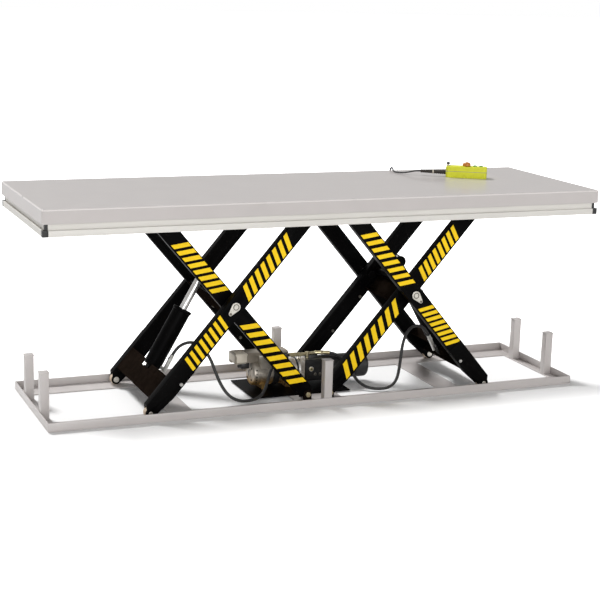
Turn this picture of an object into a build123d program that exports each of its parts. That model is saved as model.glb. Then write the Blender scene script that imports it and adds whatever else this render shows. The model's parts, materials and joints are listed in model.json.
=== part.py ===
"""Tandem scissor lift table, drawn raised: two scissors side by side under one long platform.

Millimetres, +X along the platform, +Y to the rear, +Z up. The origin is on the floor under the
middle of the table. Each scissor has an inner pair of arms, hinged to the base near the middle
with rollers under the platform, and an outer pair with rollers on the base, hinged to the
platform near the middle. One hydraulic cylinder lifts each scissor.
"""
import os
from math import acos, asin, atan2, cos, degrees, hypot, pi, radians, sin, tan

from build123d import *

# ---- platform ----
DECK_LENGTH = 2720.0
DECK_WIDTH = 850.0
DECK_PLATE = 4.0
APRON_DEPTH = 62.0
APRON_PLATE = 5.0
DECK_EDGE_ROUND = 2.5
RIB_DEPTH = 45.0
RIB_PLATE = 6.0
RIB_X = 660.0                  # transverse ribs
RIB_Y = 237.0                  # lengthwise ribs, between inner and outer arms

# ---- base frame ----
BASE_LENGTH = 2652.0
BASE_WIDTH = 696.0
RAIL_HEIGHT = 40.0
RAIL_PLATE = 5.0
SIDE_FLANGE = 125.0
END_FLANGE = 50.0
CROSS_PLATE_X = 690.0
CROSS_PLATE_WIDTH = 120.0
CENTRE_PLATE_WIDTH = 240.0

# ---- stop posts that the lowered platform rests on ----
POST_SIZE = 40.0
POST_WALL = 3.0
POST_CAP = 46.0
POST_CAP_PLATE = 4.0
POST_TOP = 221.0
END_POST_X = 1300.0
END_POST_Y = 155.0
STOP_GAP = 0.5

# ---- scissor arms: rectangular tube ----
ARM_PIVOTS = 1222.0            # end pivot to end pivot
ARM_HEIGHT = 80.0
ARM_WIDTH = 40.0
ARM_WALL = 4.0
RAISED_ANGLE = 49.5
ARM_TIP = 23.0
ARM_TAPER = 115.0
TIP_CHAMFER = 17.0
OUTER_ARM_Y = 306.0            # outer face of the outer arms
INNER_ARM_Y = 225.0            # outer face of the inner arms
FIXED_PIVOT_X = 58.0
DOUBLER_LENGTH = 290.0
DOUBLER_PLATE = 4.0

# ---- rollers, pins and lugs ----
ROLLER = 26.0                  # radius of the track line from the roller's axis
TRACK_GAP = 0.3
ROLLER_ROOM = 1.0              # between a roller and the arm wall on each side of it
AXLE = 10.0
CENTRE_PIN = 15.0
CENTRE_BOSS = 25.0
BOLT = 8.0
BOLT_HEAD = 13.0
BOLT_HEAD_THICK = 10.0
RUNNING = 0.05                 # radial clearance of a shaft in its bore
LUG_PLATE = 8.0
LUG_GAP = 3.0
LUG_TIP = 20.0
LOCK_PLATE = 5.0
LOCK_ROUND = 21.0
LOCK_TAIL = 9.0
LOCK_REACH = 40.0              # from the pin's axis to the middle of the tail's round

# ---- cross members ----
CHANNEL_START = 48.0
CHANNEL_END = 172.0
CHANNEL_PLATE = 6.0
CHANNEL_LIP = 50.0
BARREL_NOTCH = 30.0            # how far the channel is cut back for the barrel
BARREL_ROOM = 10.0
INNER_TUBE = 20.0              # radius
INNER_TUBE_BEYOND = 41.0       # past the centre pin, along the inner arm
INNER_TUBE_V = -16.0
TUBE_LUG_TIP = 28.0            # radius of the lugs' round ends at the rod pin

# ---- cylinders ----
BASE_PIN_U = 122.0
BASE_PIN_V = 5.0
ROD_PIN_BEYOND = 115.0         # past the centre pin, along the inner arm
ROD_PIN_V = 30.0
BARREL = 42.5
BARREL_START = 44.0
BARREL_END = 347.0
BARREL_FLOOR = 12.0
GLAND = 46.0
GLAND_LENGTH = 14.0
ROD = 18.0
ROD_CLEARANCE = 0.3
ROD_INSIDE = 125.0
EYE = 25.0
EYE_WIDTH = 38.0
CYLINDER_PIN = 12.5
CYLINDER_LUG_GAP = 1.5

# ---- power pack ----
PACK_Y = 18.0
PACK_Z = 84.0
PACK_PLATE = 6.0
PACK_PLATE_BOX = (-300.0, 200.0, -150.0, 165.0)
MOTOR = 60.0
MOTOR_START = -258.0
MOTOR_END = -12.0
TANK = 61.0
TANK_START = 100.0
TANK_END = 352.0
TERMINAL_BOX = (275.0, 92.0, 44.0)
TERMINAL_X = -205.0
TERMINAL_OFFSET = 22.0         # to the rear of the motor's axis
TERMINAL_SUNK = 12.0           # how far its saddle comes down the motor's shell
MOTOR_FOOT = 14.0              # half the length of a foot
MOTOR_FOOT_WIDE = 45.0
FOOT_INTO_SHELL = 35.0         # a foot's top under the power pack's axis
STRAP = 16.0                   # half the strap's width
STRAP_FROM_BELL = 118.0
STRAP_THICK = 3.0
TANK_FOOT = 12.0
TANK_FOOT_WIDE = 40.0
FOOT_FROM_END = 60.0
MANIFOLD_END = 14.0
MANIFOLD_BOX = (-44.0, 40.0, 52.0, 152.0)
VALVE_BOX = (-52.0, 40.0, 34.0, 140.0)
TEE = (36.0, 10.0, 140.0)      # foot of the tee on the valve body
TEE_HEIGHT = 30.0
RING_SCREW = (43.0, 94.0)
RING_LENGTH = 6.0
HOSE = 13.0
FERRULE = 9.5
PORT_FERRULE = 52.0
PACK_FERRULE = 30.0

# ---- trip frame round the platform's edge ----
TRIP_INSET = 2.0
TRIP_LIP_DEPTH = 28.0
TRIP_LIP_WIDTH = 16.0
TRIP_WEB = 5.0
TRIP_BELOW = 55.0              # its lower edge under the apron's
TRIP_TRAVEL = 12.0
TRIP_ROOM = 3.0                # between the trip frame and the ribs
TRIP_CORNER = 26.0
TRIP_TAB = 4.0                 # thickness of the tabs that hang on the studs
TRIP_TAB_HALF = 15.0
TRIP_TAB_REACH = 20.0
HANGER = 4.0
HANGER_HEAD = 5.0
HANGER_INSET = 10.0            # the studs' axis from the trip bars' inner face
HANGER_X = (-1150.0, -400.0, 400.0, 1150.0)

# ---- hand control on the deck ----
CONTROL_LENGTH = 205.0
CONTROL_WIDTH = 66.0
CONTROL_HEIGHT = 56.0
CONTROL_CENTRE = (921.0, 105.0)
CONTROL_ANGLE = -31.0
STOP_BUTTON = 21.0
STOP_HEIGHT = 22.0
STOP_NECK = 7.0                # height of the head's underside over the control
KEY_BUTTON = 9.0
KEY_HEIGHT = 7.0
KEY_PLACES = (42.0, 72.0)
BUTTON_GAP = 0.4
BOOT_LENGTH = 127.0
BOOT = 11.5
BOOT_TIP = 6.0
BOOT_DROP = 6.0                # the boot's axis under the middle of the control's height
LEAD = 8.0
CLAMP_X = 661.0
CLAMP_BELOW_DECK = 34.0
CLAMP_DEPTH = 28.0
CLAMP_HALF = 12.0
CLAMP_HEIGHT = 20.0

# ---- hose routes, from the power pack to each cylinder's port ----
LEFT_HOSE = [
    (-34, -8, 166), (-78, -22, 172), (-130, -52, 168), (-180, -84, 140), (-208, -106, 92), (-232, -132, 44),
    (-276, -172, 17), (-332, -194, 12), (-390, -196, 15), (-438, -184, 42), (-468, -156, 92),
    (-486, -128, 150), (-502, -106, 206), (-530, -84, 256), (-576, -66, 284), (-626, -56, 274),
    (-662, -50, 240), (-682, -48, 200),
]
RIGHT_HOSE = [
    (112, 14, 160), (152, 6, 160), (192, -16, 148), (222, -46, 116), (240, -82, 72), (258, -126, 32),
    (294, -168, 13), (346, -192, 11), (400, -190, 16), (444, -168, 44), (470, -138, 92),
    (488, -114, 150), (504, -96, 206), (532, -78, 256), (578, -64, 284), (628, -56, 274),
    (662, -50, 240), (682, -48, 200),
]

# ---- worked out from the sizes above ----
ROLLER_WIDTH = ARM_WIDTH - 2 * ARM_WALL - 2 * ROLLER_ROOM
PIVOT_Z = RAIL_PLATE + ROLLER
FOOT_Z = RAIL_PLATE + PACK_PLATE
RISE = ARM_PIVOTS * sin(radians(RAISED_ANGLE))
TOP_PIVOT_Z = PIVOT_Z + RISE
DECK_UNDER = TOP_PIVOT_Z + ROLLER
DECK_TOP = DECK_UNDER + DECK_PLATE
APRON_BOTTOM = DECK_TOP - APRON_DEPTH
LOWERED_ANGLE = degrees(asin((POST_TOP + STOP_GAP - ROLLER - PIVOT_Z) / ARM_PIVOTS))
FOLD_RANGE = RAISED_ANGLE - LOWERED_ANGLE
ROLLER_X = FIXED_PIVOT_X + ARM_PIVOTS * cos(radians(RAISED_ANGLE))
TRIP_BOTTOM = APRON_BOTTOM - TRIP_BELOW
TRIP_TOP = APRON_BOTTOM + TRIP_TRAVEL
CLAMP_TOP = DECK_TOP - CLAMP_BELOW_DECK
FLANGE_EDGE = BASE_WIDTH / 2 - SIDE_FLANGE
OUTER_MID = OUTER_ARM_Y - ARM_WIDTH / 2
INNER_MID = INNER_ARM_Y - ARM_WIDTH / 2


def box(x0, x1, y0, y1, z0, z1):
    """A box between two corners."""
    middle = ((x0 + x1) / 2, (y0 + y1) / 2, (z0 + z1) / 2)
    return Pos(*middle) * Box(abs(x1 - x0), abs(y1 - y0), abs(z1 - z0))


def standing(radius, height):
    """A round bar that stands on the origin."""
    return Cylinder(radius, height, align=(Align.CENTER, Align.CENTER, Align.MIN))


def rod_between(start, end, radius):
    """A round bar from one point to another."""
    a, b = Vector(*start), Vector(*end)
    return Plane(a, z_dir=b - a) * standing(radius, (b - a).length)


def across(x, z, y0, y1, radius):
    """A round bar along Y."""
    return rod_between((x, min(y0, y1), z), (x, max(y0, y1), z), radius)


def group(solids):
    """Separate solids written as one node."""
    return Compound(children=[s for item in solids for s in item.solids()])


def both_sides(solid):
    """A solid and its mirror image at the rear."""
    return [solid, mirror(solid, about=Plane.XZ)]


def inner_plane(y=0.0):
    """Along the left inner arm from its base pivot: x along the arm, y to its upper side."""
    angle = radians(RAISED_ANGLE)
    return Plane((-FIXED_PIVOT_X, y, PIVOT_Z), x_dir=(-cos(angle), 0, sin(angle)), z_dir=(0, 1, 0))


def outer_plane(y=0.0):
    """Along the left outer arm from its roller: x along the arm, y to its upper side."""
    angle = radians(RAISED_ANGLE)
    return Plane((-ROLLER_X, y, PIVOT_Z), x_dir=(cos(angle), 0, sin(angle)), z_dir=(0, -1, 0))


def on_plane(plane, u, v):
    """The point at u along an arm and v above its line."""
    return plane.from_local_coords(Vector(u, v, 0))


def arm_outline():
    """Side view of an arm: a bar with round tips, tapered on the side that meets a track."""
    half, length = ARM_HEIGHT / 2, ARM_PIVOTS
    lower = Polyline((ARM_TAPER, -half), (0, -ARM_TIP))
    lower_tip = ThreePointArc((0, -ARM_TIP), (-ARM_TIP, 0), (0, ARM_TIP))
    top = Polyline((0, ARM_TIP), (TIP_CHAMFER, half), (length - ARM_TAPER, half), (length, ARM_TIP))
    upper_tip = ThreePointArc((length, ARM_TIP), (length + ARM_TIP, 0), (length, -ARM_TIP))
    under = Polyline((length, -ARM_TIP), (length - TIP_CHAMFER, -half), (ARM_TAPER, -half))
    return make_face([lower, lower_tip, top, upper_tip, under])


def arm_bores(first, second, centre):
    """Bores for the pins at the two ends and the middle of an arm."""
    tall = 4 * ARM_WIDTH
    places = ((0, first), (ARM_PIVOTS, second), (ARM_PIVOTS / 2, centre))
    return [Pos(u, 0, 0) * Cylinder(radius, tall) for u, radius in places]


def hollow_arm(first_boss, second_boss, bores):
    """The tube of an arm with its boss tubes, on its own plane, middle of its width at z = 0."""
    arm = extrude(arm_outline(), ARM_WIDTH / 2, both=True)
    inside = Pos(ARM_PIVOTS / 2, 0, 0) * Box(
        2 * ARM_PIVOTS, ARM_HEIGHT - 2 * ARM_WALL, ARM_WIDTH - 2 * ARM_WALL)
    arm = arm - inside
    arm += Pos(ARM_PIVOTS / 2, 0, 0) * Cylinder(CENTRE_BOSS, ARM_WIDTH)
    if first_boss:
        arm += Cylinder(ARM_TIP - 5, ARM_WIDTH)
    if second_boss:
        arm += Pos(ARM_PIVOTS, 0, 0) * Cylinder(ARM_TIP - 5, ARM_WIDTH)
    for bore in bores:
        arm -= bore
    return arm


def inner_arm():
    """An inner arm: bolt bore at the base end, axle bore at the platform end."""
    return hollow_arm(True, False, arm_bores(BOLT + RUNNING, AXLE, CENTRE_PIN + RUNNING))


def outer_arm():
    """An outer arm: axle bore at the base end, bolt bore at the platform end, doubler plate outside."""
    bores = arm_bores(AXLE, BOLT + RUNNING, CENTRE_PIN)
    arm = hollow_arm(False, True, bores)
    reach = Pos(DOUBLER_LENGTH / 2 - ARM_TIP, 0, 0) * Box(
        DOUBLER_LENGTH, 2 * ARM_HEIGHT, 2 * ARM_WIDTH)
    plate = extrude(arm_outline(), DOUBLER_PLATE) & reach
    plate = Pos(0, 0, ARM_WIDTH / 2) * plate
    for bore in bores:
        plate -= bore
    return arm + plate


def left_arm(kind, front):
    """One of the four arms of the left scissor, in place."""
    if kind == "inner":
        y = -INNER_MID if front else INNER_MID
        return inner_plane(y).location * inner_arm()
    if front:
        return outer_plane(-OUTER_MID).location * outer_arm()
    return mirror(outer_plane(-OUTER_MID).location * outer_arm(), about=Plane.XZ)


def roller(kind, front):
    """A roller in the open end of an arm of the left scissor, in place."""
    y = (INNER_MID if kind == "inner" else OUTER_MID) * (-1 if front else 1)
    z = TOP_PIVOT_Z if kind == "inner" else PIVOT_Z
    half = ROLLER_WIDTH / 2
    wheel = across(-ROLLER_X, z, y - half, y + half, ROLLER - TRACK_GAP)
    wheel = chamfer(wheel.edges().filter_by(GeomType.CIRCLE), 1.5)
    return wheel - across(-ROLLER_X, z, y - half, y + half, AXLE + RUNNING)


def inner_axles():
    """Axles of the upper rollers, with round heads outside the arm walls."""
    made = []
    reach = ARM_WIDTH / 2
    for side in (-1, 1):
        y = side * INNER_MID
        axle = across(-ROLLER_X, TOP_PIVOT_Z, y - reach, y + reach, AXLE)
        for end in (-1, 1):
            face = y + end * reach
            axle += across(-ROLLER_X, TOP_PIVOT_Z, face, face + end * LUG_GAP, AXLE + 4)
        made.append(axle)
    return group(made)


def teardrop(x, z, y, outward):
    """Lock plate on a centre pin's end, pear-shaped, its tail down along the outer arm."""
    tail = outer_plane()
    round_end = across(x, z, y, y + outward * LOCK_PLATE, LOCK_ROUND)
    centre = Vector(x, 0, z)
    tip = centre - tail.x_dir * LOCK_REACH
    small_end = across(tip.X, tip.Z, y, y + outward * LOCK_PLATE, LOCK_TAIL)
    spread = acos((LOCK_ROUND - LOCK_TAIL) / LOCK_REACH)
    corners = []
    for where, radius in ((centre, LOCK_ROUND), (tip, LOCK_TAIL)):
        for turn in (spread, -spread):
            away = -tail.x_dir.rotate(Axis.Y, degrees(turn))
            corners.append(where + away * radius)
    a, b, c, d = [Vector(p.X, y, p.Z) for p in corners]
    web = extrude(make_face(Polyline(a, c, d, b, a)), LOCK_PLATE, dir=(0, outward, 0))
    return round_end + small_end + web


def outer_pins():
    """Pins carried by the outer arms: roller axles, and centre pins with spacers and lock plates."""
    centre = on_plane(outer_plane(), ARM_PIVOTS / 2, 0)
    made = []
    for side in (-1, 1):
        inside = side * (OUTER_ARM_Y - ARM_WIDTH)
        outside = side * (OUTER_ARM_Y + DOUBLER_PLATE)
        axle = across(-ROLLER_X, PIVOT_Z, inside - side * LUG_GAP, outside + side * LUG_GAP, AXLE)
        axle += across(-ROLLER_X, PIVOT_Z, inside, inside - side * LUG_GAP, AXLE + 4)
        made.append(axle)
        pin_end = side * (INNER_ARM_Y - ARM_WIDTH - LUG_GAP)
        pin = across(centre.X, centre.Z, pin_end, side * OUTER_ARM_Y, CENTRE_PIN)
        spacer = side * (INNER_ARM_Y + TRACK_GAP)
        pin += across(centre.X, centre.Z, spacer, inside, CENTRE_BOSS)
        pin += across(centre.X, centre.Z, pin_end, pin_end - side * LUG_GAP, CENTRE_PIN + 5)
        pin += teardrop(centre.X, centre.Z, side * OUTER_ARM_Y, side)
        made.append(pin)
    return group(made)


def cylinder_pins():
    """Ends of the cylinder: its base pin and its rod pin, left scissor."""
    base = on_plane(outer_plane(), BASE_PIN_U, BASE_PIN_V)
    rod = on_plane(inner_plane(), ARM_PIVOTS / 2 + ROD_PIN_BEYOND, ROD_PIN_V)
    return base, rod


def outer_cross_plate():
    """Folded channel between the outer arms near the rollers, with the cylinder's base lugs and pin."""
    plane = outer_plane()
    y_half = OUTER_ARM_Y - ARM_WIDTH
    top = ARM_HEIGHT / 2
    middle = (CHANNEL_START + CHANNEL_END) / 2
    long = CHANNEL_END - CHANNEL_START
    lug_y = EYE_WIDTH / 2 + CYLINDER_LUG_GAP
    body = plane.location * Pos(middle, top - CHANNEL_PLATE / 2, 0) * Box(long, CHANNEL_PLATE, 2 * y_half)
    for u in (CHANNEL_START + CHANNEL_PLATE / 2, CHANNEL_END - CHANNEL_PLATE / 2):
        lip = Pos(u, top - CHANNEL_LIP / 2, 0) * Box(CHANNEL_PLATE, CHANNEL_LIP, 2 * y_half)
        body += plane.location * lip
    body -= plane.location * Pos(CHANNEL_END, top, 0) * Box(
        2 * BARREL_NOTCH, 4 * CHANNEL_LIP, 2 * (BARREL + BARREL_ROOM))
    for side in (-1, 1):
        y = side * (lug_y + LUG_PLATE / 2)
        lug = Pos(BASE_PIN_U, BASE_PIN_V, y) * Cylinder(EYE, LUG_PLATE)
        arm = top - CHANNEL_PLATE - BASE_PIN_V
        lug += Pos(BASE_PIN_U, BASE_PIN_V + arm / 2, y) * Box(2 * EYE, arm, LUG_PLATE)
        body += plane.location * lug
    base, _ = cylinder_pins()
    pin_end = lug_y + LUG_PLATE
    body += across(base.X, base.Z, -pin_end, pin_end, CYLINDER_PIN)
    return body


def inner_cross_tube():
    """Round tube between the inner arms with the two lugs that the rod's eye pushes on."""
    plane = inner_plane()
    y_half = INNER_ARM_Y - ARM_WIDTH
    pin_u = ARM_PIVOTS / 2 + ROD_PIN_BEYOND
    tube_u = ARM_PIVOTS / 2 + INNER_TUBE_BEYOND
    tube = plane.location * Pos(tube_u, INNER_TUBE_V, 0) * Cylinder(INNER_TUBE, 2 * y_half)
    lug_y = EYE_WIDTH / 2 + CYLINDER_LUG_GAP
    reach = hypot(pin_u - tube_u, ROD_PIN_V - INNER_TUBE_V)
    lean = degrees(atan2(ROD_PIN_V - INNER_TUBE_V, pin_u - tube_u))
    body = tube
    for side in (-1, 1):
        y = side * (lug_y + LUG_PLATE / 2)
        lug = Pos(reach, 0, 0) * Cylinder(TUBE_LUG_TIP, LUG_PLATE)
        lug += Pos(reach / 2, 0, 0) * Box(reach, 2 * INNER_TUBE, LUG_PLATE)
        lug += Pos(reach, 0, side * LUG_PLATE) * Cylinder(CYLINDER_PIN + 3, LUG_PLATE)
        body += plane.location * Pos(tube_u, INNER_TUBE_V, y) * Rot(0, 0, lean) * lug
    return body


def cylinder_line():
    """A frame with z from the base pin to the rod pin, and the distance between them."""
    base, rod = cylinder_pins()
    line = rod - base
    return Plane(base, x_dir=(0, 1, 0), z_dir=line), line.length


def cylinder_barrel():
    """Barrel with its base eye, gland nut and the bore that the rod slides in."""
    plane, _ = cylinder_line()
    eye = Rot(0, 90, 0) * Cylinder(EYE, EYE_WIDTH)
    neck = Box(EYE_WIDTH, 2 * EYE - 6, BARREL_START + 2, align=(Align.CENTER, Align.CENTER, Align.MIN))
    tube_long = BARREL_END - BARREL_START
    tube = Pos(0, 0, BARREL_START) * standing(BARREL, tube_long)
    tube = chamfer(tube.edges().filter_by(GeomType.CIRCLE).sort_by(Axis.Z)[0], 6)
    gland = Pos(0, 0, BARREL_END - GLAND_LENGTH) * standing(GLAND, GLAND_LENGTH)
    gland = chamfer(gland.edges().filter_by(GeomType.CIRCLE), 3)
    body = eye + neck + tube + gland
    body -= Pos(0, 0, BARREL_START + BARREL_FLOOR) * standing(ROD + ROD_CLEARANCE, tube_long)
    body -= Rot(0, 90, 0) * Cylinder(CYLINDER_PIN + RUNNING, 2 * EYE_WIDTH)
    return plane.location * body


def cylinder_rod():
    """Chrome rod with its eye, the pin fixed in the eye."""
    plane, length = cylinder_line()
    start = BARREL_END - ROD_INSIDE
    eye = Pos(0, 0, length) * Rot(0, 90, 0) * Cylinder(EYE, EYE_WIDTH)
    return plane.location * (Pos(0, 0, start) * standing(ROD, length - start) + eye)


def port_fitting():
    """Elbow and hose ferrule at the foot of the left barrel."""
    plane, _ = cylinder_line()
    end, before = Vector(*LEFT_HOSE[-1]), Vector(*LEFT_HOSE[-2])
    along = (end - before).normalized()
    elbow = end + along * PORT_FERRULE
    local = plane.to_local_coords(elbow)
    away = Vector(local.X, local.Y, 0).normalized()
    seat = plane.from_local_coords(away * BARREL + Vector(0, 0, local.Z))
    stub = rod_between(tuple(seat), tuple(elbow), FERRULE - 2)
    ferrule = rod_between(tuple(elbow + along * FERRULE), tuple(end), FERRULE)
    saddle = plane.location * Pos(0, 0, local.Z) * Cylinder(BARREL, 2 * PORT_FERRULE)
    return stub + ferrule - saddle


def side_rails():
    """Front and rear rails: a wide flange on the floor and an upright at its outer edge."""
    half, width = BASE_LENGTH / 2, BASE_WIDTH / 2
    flange = box(-half, half, -width, -FLANGE_EDGE, 0, RAIL_PLATE)
    upright = box(-half, half, -width, -width + RAIL_PLATE, RAIL_PLATE, RAIL_HEIGHT)
    return group(both_sides(flange) + both_sides(upright))


def end_rails():
    """Left and right rails, set between the side rails."""
    half, inside = BASE_LENGTH / 2, BASE_WIDTH / 2 - RAIL_PLATE
    made = []
    for side in (-1, 1):
        x, edge = side * half, side * (half - END_FLANGE)
        made.append(box(edge, x, -FLANGE_EDGE, FLANGE_EDGE, 0, RAIL_PLATE))
        made.append(box(x - side * RAIL_PLATE, x, -inside, inside, RAIL_PLATE, RAIL_HEIGHT))
    return group(made)


def base_cross_plates():
    """Flat plates that tie the side rails: one under each scissor and one in the middle."""
    made = []
    places = (-CROSS_PLATE_X, 0, CROSS_PLATE_X)
    widths = (CROSS_PLATE_WIDTH, CENTRE_PLATE_WIDTH, CROSS_PLATE_WIDTH)
    for x, width in zip(places, widths):
        made.append(box(x - width / 2, x + width / 2, -FLANGE_EDGE, FLANGE_EDGE, 0, RAIL_PLATE))
    return group(made)


def post_places():
    """Foot of each stop post: two at each end and one beside each side rail."""
    side_y = BASE_WIDTH / 2 - RAIL_PLATE - POST_SIZE / 2
    ends = [(x, y) for x in (-END_POST_X, END_POST_X) for y in (-END_POST_Y, END_POST_Y)]
    return ends + [(0.0, -side_y), (0.0, side_y)]


def stop_posts():
    """Square tubes that stand on the flanges."""
    tall = POST_TOP - POST_CAP_PLATE - RAIL_PLATE
    hollow = POST_SIZE - 2 * POST_WALL
    tube = Box(POST_SIZE, POST_SIZE, tall) - Box(hollow, hollow, 2 * tall)
    return group([Pos(x, y, RAIL_PLATE + tall / 2) * tube for x, y in post_places()])


def post_caps():
    """Square plates that close the posts, a little wider than the posts."""
    made = []
    for x, y in post_places():
        cap = Box(POST_CAP, POST_CAP, POST_CAP_PLATE)
        cap = chamfer(cap.edges().filter_by(Axis.Z), 3)
        made.append(Pos(x, y, POST_TOP - POST_CAP_PLATE / 2) * cap)
    return group(made)


def lug(x, z, face_z, y0, y1, bore):
    """A plate with a round end at a pivot, welded to a flat face above or below it."""
    plate = across(x, z, y0, y1, LUG_TIP) + box(x - LUG_TIP, x + LUG_TIP, y0, y1, z, face_z)
    return plate - across(x, z, y0 - LUG_PLATE, y1 + LUG_PLATE, bore)


def base_lugs():
    """Two lugs for each inner arm, on the flange and on the middle plate."""
    made = []
    for x in (-FIXED_PIVOT_X, FIXED_PIVOT_X):
        outside = INNER_ARM_Y + LUG_GAP
        inside = INNER_ARM_Y - ARM_WIDTH - LUG_GAP
        made += both_sides(lug(x, PIVOT_Z, RAIL_PLATE, outside, outside + LUG_PLATE, BOLT))
        made += both_sides(lug(x, PIVOT_Z, RAIL_PLATE, inside - LUG_PLATE, inside, BOLT))
    return group(made)


def pivot_bolt(x, z, inside, outside):
    """A hexagon bolt through two lugs, its head outside and its nut inside."""
    bolt = across(x, z, inside, outside, BOLT)
    head = extrude(RegularPolygon(BOLT_HEAD, 6), BOLT_HEAD_THICK)
    bolt += Plane((x, outside, z), x_dir=(1, 0, 0), z_dir=(0, 1, 0)).location * head
    bolt += Plane((x, inside, z), x_dir=(1, 0, 0), z_dir=(0, -1, 0)).location * head
    return bolt


def base_bolts():
    """Bolts of the inner arms' base pivots."""
    inside = INNER_ARM_Y - ARM_WIDTH - LUG_GAP - LUG_PLATE
    outside = INNER_ARM_Y + LUG_GAP + LUG_PLATE
    made = []
    for x in (-FIXED_PIVOT_X, FIXED_PIVOT_X):
        made += both_sides(pivot_bolt(x, PIVOT_Z, inside, outside))
    return group(made)


def platform_lugs():
    """Two lugs under the deck for each outer arm."""
    made = []
    for x in (-FIXED_PIVOT_X, FIXED_PIVOT_X):
        outside = OUTER_ARM_Y + LUG_GAP
        inside = OUTER_ARM_Y - ARM_WIDTH - LUG_GAP
        made += both_sides(lug(x, TOP_PIVOT_Z, DECK_UNDER, outside, outside + LUG_PLATE, BOLT))
        made += both_sides(lug(x, TOP_PIVOT_Z, DECK_UNDER, inside - LUG_PLATE, inside, BOLT))
    return group(made)


def platform_bolts():
    """Bolts of the outer arms' platform pivots."""
    inside = OUTER_ARM_Y - ARM_WIDTH - LUG_GAP - LUG_PLATE
    outside = OUTER_ARM_Y + LUG_GAP + LUG_PLATE
    made = []
    for x in (-FIXED_PIVOT_X, FIXED_PIVOT_X):
        made += both_sides(pivot_bolt(x, TOP_PIVOT_Z, inside, outside))
    return group(made)


def platform_deck():
    """Deck plate with a folded apron all round, drawn as plates that meet."""
    half, width = DECK_LENGTH / 2, DECK_WIDTH / 2
    plate = box(-half, half, -width, width, DECK_UNDER, DECK_TOP)
    plate = fillet(plate.edges().group_by(Axis.Z)[-1], DECK_EDGE_ROUND)
    long_apron = box(-half, half, -width, -width + APRON_PLATE, APRON_BOTTOM, DECK_UNDER)
    inside = width - APRON_PLATE
    short_apron = box(-half, -half + APRON_PLATE, -inside, inside, APRON_BOTTOM, DECK_UNDER)
    return group([plate] + both_sides(long_apron) + [short_apron, mirror(short_apron, about=Plane.YZ)])


def platform_ribs():
    """Flat bars on edge that stiffen the deck, clear of the arms and of the trip frame's travel."""
    end = DECK_LENGTH / 2 - TRIP_INSET - TRIP_LIP_WIDTH - TRIP_ROOM
    inside = DECK_WIDTH / 2 - TRIP_INSET - TRIP_LIP_WIDTH - TRIP_ROOM
    low = DECK_UNDER - RIB_DEPTH
    half = RIB_PLATE / 2
    made = both_sides(box(-end, end, -RIB_Y - half, -RIB_Y + half, low, DECK_UNDER))
    for x in (-RIB_X, RIB_X):
        made.append(box(x - half, x + half, -RIB_Y + half, RIB_Y - half, low, DECK_UNDER))
        made += both_sides(box(x - half, x + half, -inside, -RIB_Y - half, low, DECK_UNDER))
    return group(made)


def trip_bar(length):
    """A bar of the trip frame along X: a lip with a web above it and tabs that hang on studs."""
    lip = box(-length / 2, length / 2, 0, TRIP_LIP_WIDTH, 0, TRIP_LIP_DEPTH)
    lip = chamfer(lip.edges().filter_by(Axis.X), 2)
    web_start = TRIP_LIP_WIDTH - TRIP_WEB
    web_top = TRIP_BELOW + TRIP_TRAVEL
    return lip + box(-length / 2, length / 2, web_start, TRIP_LIP_WIDTH, TRIP_LIP_DEPTH - 2, web_top)


def trip_bars():
    """Four aluminium bars round the platform's lower edge."""
    half = DECK_LENGTH / 2 - TRIP_INSET
    width = DECK_WIDTH / 2 - TRIP_INSET
    long_bar = Pos(0, -width, TRIP_BOTTOM) * trip_bar(2 * (half - TRIP_CORNER))
    tab_y = -width + TRIP_LIP_WIDTH
    for x in HANGER_X:
        left, right = x - TRIP_TAB_HALF, x + TRIP_TAB_HALF
        long_bar += box(left, right, tab_y - 1, tab_y + TRIP_TAB_REACH, TRIP_TOP - TRIP_TAB, TRIP_TOP)
        long_bar -= Pos(x, tab_y + HANGER_INSET, TRIP_TOP) * Cylinder(HANGER + 1, 4 * TRIP_TAB)
    short_bar = Pos(-half, 0, TRIP_BOTTOM) * Rot(0, 0, -90) * trip_bar(2 * (width - TRIP_CORNER))
    return group(both_sides(long_bar) + [short_bar, mirror(short_bar, about=Plane.YZ)])


def trip_corners():
    """Black corner blocks that join the trip bars, each with a stem behind the apron."""
    half = DECK_LENGTH / 2 - TRIP_INSET
    width = DECK_WIDTH / 2 - TRIP_INSET
    inset = TRIP_LIP_WIDTH - TRIP_WEB
    made = []
    for sx in (-1, 1):
        for sy in (-1, 1):
            x, y = sx * half, sy * width
            inner_x, inner_y = x - sx * TRIP_CORNER, y - sy * TRIP_CORNER
            block = box(inner_x, x, inner_y, y, TRIP_BOTTOM, TRIP_BOTTOM + TRIP_LIP_DEPTH)
            block = fillet(block.edges().filter_by(Axis.Z), 4)
            stem_x, stem_y = x - sx * inset, y - sy * inset
            stem = box(inner_x, stem_x, inner_y, stem_y, TRIP_BOTTOM + TRIP_LIP_DEPTH, TRIP_TOP)
            made.append(block + stem)
    return group(made)


def trip_hangers():
    """Headed studs under the deck that the trip bars' tabs rest on."""
    width = DECK_WIDTH / 2 - TRIP_INSET
    hanger_y = -width + TRIP_LIP_WIDTH + HANGER_INSET
    seat = TRIP_TOP - TRIP_TAB - TRACK_GAP
    made = []
    for x in HANGER_X:
        stud = rod_between((x, hanger_y, seat - HANGER_HEAD), (x, hanger_y, DECK_UNDER), HANGER)
        stud += rod_between((x, hanger_y, seat - HANGER_HEAD), (x, hanger_y, seat), 2 * HANGER)
        made += both_sides(stud)
    return group(made)


def power_pack_plate():
    """Black plate that carries the power pack, on the middle plate."""
    x0, x1, y0, y1 = PACK_PLATE_BOX
    return group([box(x0, x1, y0, y1, RAIL_PLATE, FOOT_Z)])


def along_x(x0, x1, radius):
    """A round body along X on the power pack's axis."""
    return rod_between((x0, PACK_Y, PACK_Z), (x1, PACK_Y, PACK_Z), radius)


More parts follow.
